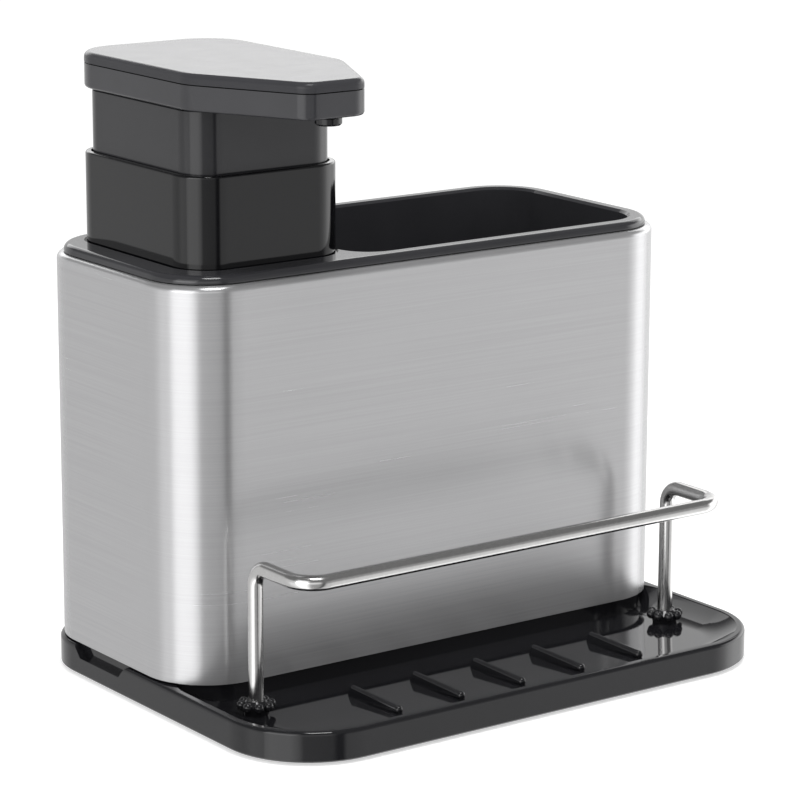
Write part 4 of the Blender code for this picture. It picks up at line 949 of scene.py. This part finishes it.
def notch_cutter():
    """A finger notch with ramped ends, cut down into the left rim."""
    outer = -TRAY_WIDTH / 2 - OVERRUN
    inner = -HOUSING_WIDTH / 2 + PLINTH_INSET - SEAT_GAP
    bottom = TRAY_TOP - NOTCH_DEPTH
    low_half = NOTCH_LENGTH / 2 - NOTCH_RAMP
    centre = HOUSING_Y + NOTCH_SHIFT
    low = (outer, centre - low_half, bottom)
    high = (inner, centre + low_half, TRAY_TOP + OVERRUN)
    item = block("cutter_notch", low, high)
    spread = NOTCH_RAMP * (NOTCH_DEPTH + OVERRUN) / NOTCH_DEPTH
    for vertex in item.data.vertices:
        if vertex.co.z > 0:
            vertex.co.y += math.copysign(spread, vertex.co.y)
    return item


def foot_places():
    return [(side * x, y) for side in (-1, 1) for x, y in (FOOT_FRONT, FOOT_BACK)]


def post_places():
    return [(side * RAIL_HALF_WIDTH, RAIL_POST_Y) for side in (-1, 1)]


def floor_height(y):
    return TRAY_TOP - LIP_DROP - dish_floor_depth(y)


def tray_bosses():
    """Bosses under the floor that hold the feet and the rail's posts."""
    bosses = []
    radius, bottom = FOOT_RADIUS + FOOT_BOSS_WALL, FOOT_HEIGHT + SEAT_GAP
    for index, place in enumerate(foot_places()):
        top = (PLINTH_TOP if place[1] > HOUSING_Y else floor_height(place[1])) - BOSS_SUNK
        bosses.append(rod(f"extra_foot_boss_{index + 1}", radius, place, bottom, top, TURN_STEPS))
    for index, place in enumerate(post_places()):
        name, top = f"extra_post_boss_{index + 1}", floor_height(place[1]) - BOSS_SUNK
        bosses.append(rod(name, POST_BOSS_RADIUS, place, POST_BOSS_BOTTOM, top))
    return bosses


def tray_webs():
    """Stiffening webs under the plinth, running front to back."""
    webs = []
    reach = HOUSING_DEPTH / 2 - PLINTH_INSET - PLINTH_WALL / 2
    for number, x in enumerate(spaced(WEB_COUNT, WEB_SPACING), 1):
        low = (x - WEB_THICKNESS / 2, HOUSING_Y - reach, TRAY_BOTTOM + TRAY_FLOOR)
        high = (x + WEB_THICKNESS / 2, HOUSING_Y + reach, PLINTH_TOP - PLINTH_WALL / 2)
        webs.append(block(f"extra_web_{number}", low, high))
    return webs


def make_tray():
    corners = rectangle(-TRAY_WIDTH / 2, TRAY_FRONT, TRAY_WIDTH / 2, TRAY_DEPTH / 2)
    outline = rounded_outline(corners, [TRAY_FRONT_CORNER] * 2 + [TRAY_BACK_CORNER] * 2)
    tray = slab("base_tray", outline, (0, 0), TRAY_BOTTOM, TRAY_TOP, "tray")
    round_edge_at(tray, TRAY_TOP, TRAY_EDGE)
    round_edge_at(tray, TRAY_BOTTOM, TRAY_FOOT_EDGE, 1)
    cut(tray, dish_loft("cutter_dish", TRAY_TOP + OVERRUN, 0))
    add(tray, plinth("extra_plinth", 0, TRAY_BOTTOM + TRAY_FOOT_EDGE, PLINTH_TOP))
    cut(tray, dish_loft("cutter_tray_hollow", -OVERRUN, TRAY_FLOOR))
    cut(tray, plinth("cutter_plinth", PLINTH_WALL, -OVERRUN, PLINTH_TOP - PLINTH_WALL))
    add(tray, *[rib(number, x) for number, x in enumerate(spaced(RIB_COUNT, RIB_SPACING), 1)])
    add(tray, *tray_bosses(), *tray_webs())
    cut(tray, notch_cutter())
    for index, place in enumerate(post_places()):
        cut(tray, rod(f"cutter_post_{index + 1}", POST_HOLE, place, -OVERRUN, PLINTH_TOP))


def make_feet():
    profile = [
        (0, FOOT_HEIGHT),
        (FOOT_RADIUS - FOOT_EDGE, FOOT_HEIGHT),
        (FOOT_RADIUS, FOOT_HEIGHT - FOOT_EDGE),
        (FOOT_RADIUS, FOOT_EDGE),
        (FOOT_RADIUS - FOOT_EDGE, 0),
        (0, 0),
    ]
    for index, place in enumerate(foot_places()):
        turned(f"foot_pad_{index + 1}", profile, place, "foot_rubber")


def make_rail():
    half = [(RAIL_POST_Y, RAIL_FOOT), (RAIL_POST_Y, RAIL_HEIGHT), (RAIL_BAR_Y, RAIL_HEIGHT)]
    corners = [(-RAIL_HALF_WIDTH, *place) for place in half]
    corners += [(RAIL_HALF_WIDTH, *place) for place in reversed(half)]
    path = rounded_path(corners, (RAIL_BEND, RAIL_CORNER, RAIL_CORNER, RAIL_BEND))
    wire("wire_rail", path, WIRE_RADIUS, WIRE_RESOLUTION, "rail")


def make_ferrules():
    """A ring of beads round each post, over a rounded foot."""
    bottom = floor_height(RAIL_POST_Y) + FERRULE_LIFT
    top = bottom + FERRULE_HEIGHT
    hole = WIRE_RADIUS + POST_CLEARANCE / 2
    beads = top - BEAD_RADIUS - BEAD_DROP
    foot = [
        (hole, top - BEAD_DROP),
        (BEAD_REACH - BEAD_RADIUS, top - BEAD_DROP),
        (BEAD_REACH, beads),
        (FERRULE_NECK_RADIUS + BEAD_DROP, (beads + bottom) / 2),
        (FERRULE_NECK_RADIUS, bottom),
        (hole, bottom),
    ]
    for name, place in zip(("rail_ferrule_left", "rail_ferrule_right"), post_places()):
        ferrule = tube(name, foot, place, "tray")
        for index in range(LOBE_COUNT):
            spot = on_circle(place, BEAD_REACH, 2 * math.pi * (index + 0.5) / LOBE_COUNT)
            add(ferrule, bead(f"extra_{name}_{index}", (*spot, beads)))


def make_nuts():
    """Push-on nuts that hold the posts from under the tray."""
    profile = [
        (NUT_RADIUS, NUT_TOP),
        (NUT_RADIUS, NUT_TOP - NUT_THICKNESS),
        (POST_HOLE, NUT_BOTTOM),
        (POST_HOLE, NUT_BOTTOM + NUT_THICKNESS),
    ]
    for name, place in zip(("rail_nut_left", "rail_nut_right"), post_places()):
        tube(name, profile, place, "nut")


def make_steel_shell():
    """A folded steel wall, open below, with its top edge rolled in to a narrow flange."""
    outline = rounded_box(HOUSING_WIDTH, HOUSING_DEPTH, HOUSING_CORNER)
    shell = slab("steel_shell", outline, HOUSING_CENTRE, HOUSING_BOTTOM, HOUSING_TOP, "steel")
    open_end(shell, -1)
    open_end(shell, 1, STEEL_FLANGE)
    round_corners_over(shell, STEEL_ROLL)
    solidify(shell, STEEL)


def pocket_outline(grown):
    """The sponge pocket's rounded outline, wider by grown."""
    half_depth = HOUSING_DEPTH / 2 - POCKET_INSET
    corners = rectangle(POCKET_LEFT, -half_depth, POCKET_RIGHT, half_depth)
    outer_corner = HOUSING_CORNER - POCKET_INSET
    radii = [POCKET_LEFT_CORNER, outer_corner, outer_corner, POCKET_LEFT_CORNER]
    return rounded_outline(corners, radii, -grown)


def well_outline(grown):
    """The soap well's rounded outline, wider by grown."""
    return collar_outline(WELL_INSET - grown)


def tub(name, outline, centre, bottom, top):
    item = slab(name, outline, centre, bottom, top)
    round_edge_at(item, bottom, TUB_EDGE, TUB_STEPS)
    return item


def drain_cutters():
    """Drain holes through the pocket's floor, in rows."""
    middle = (POCKET_LEFT + POCKET_RIGHT) / 2
    cutters = []
    for row, y in enumerate(spaced(DRAIN_ROWS, DRAIN_SPACING), 1):
        for column, x in enumerate(spaced(DRAIN_COLUMNS, DRAIN_SPACING), 1):
            name, place = f"cutter_drain_{row}_{column}", (middle + x, HOUSING_Y + y)
            cutters.append(rod(name, DRAIN_RADIUS, place, 0, WELL_FLOOR + OVERRUN))
    return cutters


def deck_recess_cutter():
    """The shallow step in the deck that the pump collar stands in."""
    outline = collar_outline(-DECK_SIDE_GAP)
    return slab("cutter_deck", outline, PUMP_AXIS, DECK_TOP, RIM_TOP + OVERRUN)


def mouth_cutter():
    """Slopes the pocket's mouth off at the top of the rim."""
    bottom = RIM_TOP - POCKET_MOUTH_EDGE
    outline = pocket_outline(POCKET_MOUTH_EDGE)
    item = slab("cutter_mouth", outline, HOUSING_CENTRE, bottom, RIM_TOP + OVERRUN)
    round_edge_at(item, bottom, POCKET_MOUTH_EDGE, 1)
    return item


def make_liner():
    """Rim and deck with the soap well and the sponge pocket hanging from them."""
    size = (HOUSING_WIDTH, HOUSING_DEPTH, HOUSING_CORNER)
    rim = rounded_box(*size, RIM_INSET)
    liner = slab("inner_liner", rim, HOUSING_CENTRE, RIM_BOTTOM, RIM_TOP, "liner")
    round_edge_at(liner, RIM_TOP, RIM_EDGE)
    step = rounded_box(*size, STEEL_FLANGE + SLIDE_GAP)
    middle = (RIM_BOTTOM + RIM_TOP) / 2
    add(liner, slab("extra_step", step, HOUSING_CENTRE, RIM_TOP - DECK_THICKNESS, middle))
    tubs = (("pocket", pocket_outline, HOUSING_CENTRE), ("well", well_outline, PUMP_AXIS))
    for name, outline, centre in tubs:
        add(liner, tub(f"extra_{name}", outline(LINER_WALL), centre, LINER_BOTTOM, middle))
    for name, outline, centre in tubs:
        cut(liner, tub(f"cutter_{name}", outline(0), centre, WELL_FLOOR, RIM_TOP + OVERRUN))
    cut(liner, mouth_cutter(), deck_recess_cutter(), *drain_cutters())


def collar_outline(inset):
    return rounded_box(COLLAR_WIDTH, COLLAR_DEPTH, COLLAR_CORNER, inset)


def make_collar():
    """The fixed sleeve: a spigot into the soap well, a plate for the barrel and a tall wall."""
    collar = slab("pump_collar", collar_outline(0), PUMP_AXIS, COLLAR_BOTTOM, COLLAR_TOP, "collar")
    round_edge_at(collar, COLLAR_TOP, COLLAR_EDGE)
    spigot = WELL_INSET + SPIGOT_GAP
    spigot_bottom = COLLAR_BOTTOM - SPIGOT_LENGTH
    add(collar, slab("extra_spigot", collar_outline(spigot), PUMP_AXIS, spigot_bottom, PLATE_TOP))
    bore = collar_outline(COLLAR_WALL)
    cut(collar, slab("cutter_collar", bore, PUMP_AXIS, PLATE_TOP, COLLAR_TOP + OVERRUN))
    throat = collar_outline(spigot + SPIGOT_WALL)
    plate_bottom = PLATE_TOP - COLLAR_PLATE
    cut(collar, slab("cutter_spigot", throat, PUMP_AXIS, spigot_bottom - OVERRUN, plate_bottom))
    cut(collar, groove_cutter())
    hole = BARREL_RADIUS + SEAT_GAP
    low = plate_bottom - OVERRUN
    cut(collar, rod("cutter_barrel", hole, PUMP_AXIS, low, PLATE_TOP + OVERRUN, TURN_STEPS))


def groove_cutter():
    """The groove round the spigot that holds the gasket."""
    top = COLLAR_BOTTOM - GASKET_DROP + SEAT_GAP
    bottom = top - GASKET_HEIGHT - 2 * SEAT_GAP
    groove = slab("cutter_groove", collar_outline(WELL_INSET), PUMP_AXIS, bottom, top)
    core = collar_outline(GROOVE_INSET)
    cut(groove, slab("cutter_groove_core", core, PUMP_AXIS, bottom - OVERRUN, top + OVERRUN))
    return groove


def make_gasket():
    top = COLLAR_BOTTOM - GASKET_DROP
    bottom = top - GASKET_HEIGHT
    outline = collar_outline(WELL_INSET + SEAT_GAP)
    gasket = slab("collar_gasket", outline, PUMP_AXIS, bottom, top, "seal_rubber")
    round_corners_over(gasket, GASKET_EDGE, 1)
    bore = collar_outline(GROOVE_INSET - SEAT_GAP)
    cut(gasket, slab("cutter_gasket", bore, PUMP_AXIS, bottom - OVERRUN, top + OVERRUN))


def make_barrel():
    barrel_bottom = CAGE_TOP - BARREL_FLOOR
    neck_bottom = SOCKET_TOP - NECK_SOCKET
    profile = [
        (BARREL_FLANGE, BARREL_TOP),
        (BARREL_FLANGE, FLANGE_BOTTOM),
        (BARREL_RADIUS, FLANGE_BOTTOM),
        (BARREL_RADIUS, barrel_bottom),
        (NECK_RADIUS, barrel_bottom - NECK_CONE),
        (NECK_RADIUS, neck_bottom),
        (NECK_THROAT, neck_bottom),
        (NECK_THROAT, SOCKET_TOP),
        (SEAT_RADIUS, SOCKET_TOP),
        (SEAT_RADIUS, SEAT_LOW),
        (CAGE_RADIUS, CAGE_BOTTOM),
        (CAGE_RADIUS, CAGE_TOP),
        (BARREL_BORE, CAGE_TOP),
        (BARREL_BORE, BARREL_TOP),
    ]
    tube("pump_barrel", profile, PUMP_AXIS, "inner", TURN_STEPS)


def ring_profile(outer, bore, bottom, top):
    return [(outer, top), (outer, bottom), (bore, bottom), (bore, top)]


def make_dip_tube():
    profile = ring_profile(DIP_RADIUS, DIP_BORE, WELL_FLOOR + DIP_OFF_FLOOR, SOCKET_TOP - SEAT_GAP)
    tube("dip_tube", profile, PUMP_AXIS, "tube")


def make_cap():
    """The cap over the barrel's flange, which guides the stem and seats the spring."""
    flange_room = BARREL_FLANGE + SEAT_GAP
    profile = [
        (STEM_HOLE, CAP_TOP),
        (CAP_RADIUS - CAP_EDGE, CAP_TOP),
        (CAP_RADIUS, CAP_TOP - CAP_EDGE),
        (CAP_RADIUS, FLANGE_BOTTOM),
        (flange_room, FLANGE_BOTTOM),
        (flange_room, BARREL_TOP + SEAT_GAP),
        (STEM_HOLE, BARREL_TOP + SEAT_GAP),
    ]
    tube("barrel_cap", profile, PUMP_AXIS, "inner", TURN_STEPS)


def head_outline(inset=0.0):
    """The press head's plan: square at the back, drawn in to a blunt nose over the tray."""
    half = HEAD_WIDTH / 2
    nose = HEAD_NOSE_WIDTH / 2
    corners = [
        (-nose, -HEAD_NOSE),
        (nose, -HEAD_NOSE),
        (half, -HEAD_TAPER),
        (half, HEAD_BACK),
        (-half, HEAD_BACK),
        (-half, -HEAD_TAPER),
    ]
    nose_radius, taper, back = HEAD_NOSE_CORNER, HEAD_TAPER_CORNER, HEAD_BACK_CORNER
    return rounded_outline(corners, [nose_radius, nose_radius, taper, back, back, taper], inset)


def make_head_body():
    """An open tray of even wall, with holes for the stem and the nozzle."""
    body = slab("head_body", head_outline(), PUMP_AXIS, HEAD_BOTTOM, SEAM, "head")
    round_edge_at(body, HEAD_BOTTOM, HEAD_EDGE)
    hollow = head_outline(HEAD_WALL)
    cut(body, slab("cutter_head", hollow, PUMP_AXIS, HEAD_FLOOR_TOP, SEAM + OVERRUN))
    low, high = HEAD_BOTTOM - OVERRUN, HEAD_FLOOR_TOP + OVERRUN
    cut(body, rod("cutter_stem", STEM_HOLE, PUMP_AXIS, low, high, TURN_STEPS))
    cut(body, rod("cutter_nozzle", NOZZLE_SPIGOT + SEAT_GAP, (PUMP_X, NOZZLE_Y), low, high))


def make_head_cover():
    """The lid over the soap channel, with a tongue inside the head's wall."""
    cover = slab("head_cover", head_outline(), PUMP_AXIS, COVER_BOTTOM, COVER_TOP, "lid")
    round_edge_at(cover, COVER_TOP, COVER_EDGE)
    tongue = HEAD_WALL + SEAT_GAP
    middle = (COVER_BOTTOM + COVER_TOP) / 2
    tongue_bottom = SEAM - COVER_TONGUE
    add(cover, slab("extra_tongue", head_outline(tongue), PUMP_AXIS, tongue_bottom, middle))
    hollow = head_outline(tongue + COVER_TONGUE_WIDTH)
    ceiling = COVER_TOP - COVER_PLATE
    cut(cover, slab("cutter_cover", hollow, PUMP_AXIS, tongue_bottom - OVERRUN, ceiling))
    half = NOZZLE_SPIGOT + SLIDE_GAP
    front = NOZZLE_Y - NOZZLE_INSET + HEAD_WALL
    low = (PUMP_X - half, front, SEAM - OVERRUN)
    cut(cover, block("cutter_tongue", low, (PUMP_X + half, NOZZLE_Y, ceiling)))


def make_skirt():
    """The sleeve under the press head, which slides inside the collar."""
    outline = collar_outline(SKIRT_INSET)
    skirt = slab("head_skirt", outline, PUMP_AXIS, SKIRT_BOTTOM, SKIRT_TOP, "skirt")
    round_edge_at(skirt, SKIRT_TOP, SKIRT_EDGE, 1)
    hollow = collar_outline(SKIRT_INSET + SKIRT_WALL)
    ceiling = SKIRT_TOP - SKIRT_PLATE
    cut(skirt, slab("cutter_skirt", hollow, PUMP_AXIS, SKIRT_BOTTOM - OVERRUN, ceiling))
    low, high = ceiling - OVERRUN, SKIRT_TOP + OVERRUN
    cut(skirt, rod("cutter_skirt_hole", STEM_HOLE, PUMP_AXIS, low, high, TURN_STEPS))


def make_stem():
    profile = ring_profile(STEM_RADIUS, STEM_BORE, CHAMBER_TOP + SEAT_GAP, STEM_TOP)
    tube("pump_stem", profile, PUMP_AXIS, "inner", TURN_STEPS)


def make_spring():
    """The return spring between the cap and the skirt."""
    low = CAP_TOP + SEAT_GAP + SPRING_WIRE
    high = SKIRT_TOP - SKIRT_PLATE - SEAT_GAP - SPRING_WIRE
    points = []
    steps = SPRING_TURNS * SPRING_STEPS
    for step in range(steps + 1):
        spot = on_circle(PUMP_AXIS, SPRING_RADIUS, 2 * math.pi * step / SPRING_STEPS)
        points.append((*spot, low + (high - low) * step / steps))
    wire("return_spring", points, SPRING_WIRE, SPRING_RESOLUTION, "spring")


def coil_up(spring):
    """Gives the spring its own copy of its mesh; nothing here shortens it when the head is pressed.
    """
    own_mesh(spring)


def make_nozzle():
    """The round spout under the nose, with a spigot up through the head's floor."""
    tip = HEAD_BOTTOM - NOZZLE_DROP
    shoulder = HEAD_BOTTOM - SEAT_GAP
    top = HEAD_FLOOR_TOP + SEAT_GAP + CONNECTOR_HEIGHT
    profile = [
        (0, top),
        (NOZZLE_SPIGOT, top),
        (NOZZLE_SPIGOT, shoulder),
        (NOZZLE_RADIUS, shoulder),
        (NOZZLE_RADIUS, tip + NOZZLE_EDGE),
        (NOZZLE_RADIUS - NOZZLE_EDGE, tip),
        (NOZZLE_BORE, tip),
        (NOZZLE_BORE, CHANNEL_Z),
        (0, CHANNEL_Z + NOZZLE_BORE),
    ]
    nozzle = turned("nozzle", profile, (PUMP_X, NOZZLE_Y), "tray")
    back = NOZZLE_Y + NOZZLE_SPIGOT + OVERRUN
    cut(nozzle, rod_along_y("cutter_nozzle_port", NOZZLE_PORT, PUMP_X, CHANNEL_Z, NOZZLE_Y, back))


def build_pieces():
    make_tray()
    make_feet()
    make_rail()
    make_ferrules()
    make_nuts()
    make_steel_shell()
    make_liner()
    make_collar()
    make_gasket()
    make_barrel()
    make_dip_tube()
    make_cap()
    make_head_body()
    make_head_cover()
    make_skirt()
    make_stem()
    make_spring()
    make_nozzle()


# Camera, floor and light


def add_camera():
    side, lift, roll = CAMERA_AZIMUTH, CAMERA_ELEVATION, CAMERA_ROLL
    right = Vector((math.cos(side), math.sin(side), 0))
    level = Vector((math.sin(side), -math.cos(side), 0))
    back = level * math.cos(lift) + Vector((0, 0, math.sin(lift)))
    up = back.cross(right)
    turned_right = right * math.cos(roll) + up * math.sin(roll)
    turned_up = up * math.cos(roll) - right * math.sin(roll)
    data = bpy.data.cameras.new("camera")
    data.sensor_width = SENSOR_WIDTH
    data.lens = CAMERA_LENS
    data.clip_start, data.clip_end = CLIP_RANGE
    camera = add_to_scene("camera", data)
    turn = Matrix((turned_right, turned_up, back)).transposed()
    camera.matrix_world = Matrix.Translation(CAMERA_PLACE) @ turn.to_4x4()
    bpy.context.scene.camera = camera


def seen_share(tree):
    """1 for rays that come from the camera or by way of a mirror or glass, and 0 for the rest."""
    path = add_node(tree, "LightPath").outputs
    seen = calculate(tree, "MAXIMUM", path["Is Camera Ray"], path["Is Glossy Ray"])
    return calculate(tree, "MAXIMUM", seen, path["Is Transmission Ray"])


def add_floor():
    """A pale floor: its own light fills it up to white, and the object's shadow stays on it.

    Mirrors don't show it.
    """
    shape = bmesh.new()
    bmesh.ops.create_grid(shape, x_segments=1, y_segments=1, size=FLOOR_SIZE)
    floor = add_to_scene("floor", finish_mesh(shape, "floor"))
    material, shader = new_material("floor", FLOOR_COLOUR, 0, 1)
    tree = material.node_tree
    glow = map_range(tree, seen_share(tree), (0, 1), (0, FLOOR_GLOW))
    inputs = {"Specular IOR Level": 0, "Emission Color": (1, 1, 1, 1), "Emission Strength": glow}
    connect(tree, shader, inputs)
    floor.data.materials.append(material)
    floor.visible_glossy = False


def studio_grey(brightness):
    """A brightness as a share of the world's strength, because a ramp's colours end at 1."""
    share = brightness / GLOW_SCALE
    return (share, share, share, 1)


def glow_ring(tree, turn, stops):
    """The studio's brightness round the object, from (azimuth in degrees, brightness) stops."""
    ramp = add_node(tree, "ValToRGB", {"Fac": turn})
    elements = ramp.color_ramp.elements
    while len(elements) < len(stops):
        elements.new(0.5)
    for element, (azimuth, brightness) in zip(elements, stops):
        element.position = (azimuth + 180) / 360
        element.color = studio_grey(brightness)
    return ramp.outputs["Color"]


def blend_by(tree, value, source, first, second):
    """Goes smoothly from the first colour to the second as a value crosses a range."""
    return mix(tree, map_range(tree, value, source, kind="SMOOTHSTEP"), first, second)


def add_world():
    """White behind the object, and a softer even fill on it.

    Rays by way of a reflection see neither, but a studio whose brightness changes round the object.
    """
    world = bpy.data.worlds.new("studio")
    bpy.context.scene.world = world
    world.use_nodes = True
    tree = world.node_tree
    place = add_node(tree, "TexCoord").outputs["Generated"]
    split = add_node(tree, "SeparateXYZ", {"Vector": place}).outputs
    angle = calculate(tree, "ARCTAN2", split["Y"], split["X"])
    turn = map_range(tree, angle, (-math.pi, math.pi))
    low, high = [glow_ring(tree, turn, stops) for stops in (LOW_GLOW, HIGH_GLOW)]
    sides = blend_by(tree, split["Z"], LOW_TO_HIGH, low, high)
    studio = blend_by(tree, split["Z"], HIGH_TO_TOP, sides, studio_grey(TOP_GLOW))
    path = add_node(tree, "LightPath").outputs
    unseen = mix(tree, path["Is Glossy Ray"], studio_grey(WORLD_FILL), studio)
    white = calculate(tree, "MAXIMUM", path["Is Camera Ray"], path["Is Transmission Ray"])
    inputs = {"Color": mix(tree, white, unseen, studio_grey(1)), "Strength": GLOW_SCALE}
    connect(tree, tree.nodes["Background"], inputs)


def add_panel(name, azimuth, reach, height, size, glow):
    """A soft box that faces the object, of an even brightness, and that the camera doesn't see."""
    data = bpy.data.lights.new(name, "AREA")
    data.shape = "RECTANGLE"
    data.size, data.size_y = size
    data.energy = glow * math.pi * size[0] * size[1]
    lamp = add_to_scene(name, data)
    lamp.location = (*on_circle((0, 0), reach, math.radians(azimuth)), height)
    aim = Vector((0, 0, AIM_HEIGHT)) - lamp.location
    lamp.rotation_mode = "QUATERNION"
    lamp.rotation_quaternion = aim.to_track_quat("-Z", "Y")
    lamp.visible_camera = False


build_pieces()
settle_all()
dress_nodes()
add_camera()
add_floor()
add_world()
for panel in PANELS:
    add_panel(*panel)

view = bpy.context.scene.view_settings
view.view_transform = "Standard"
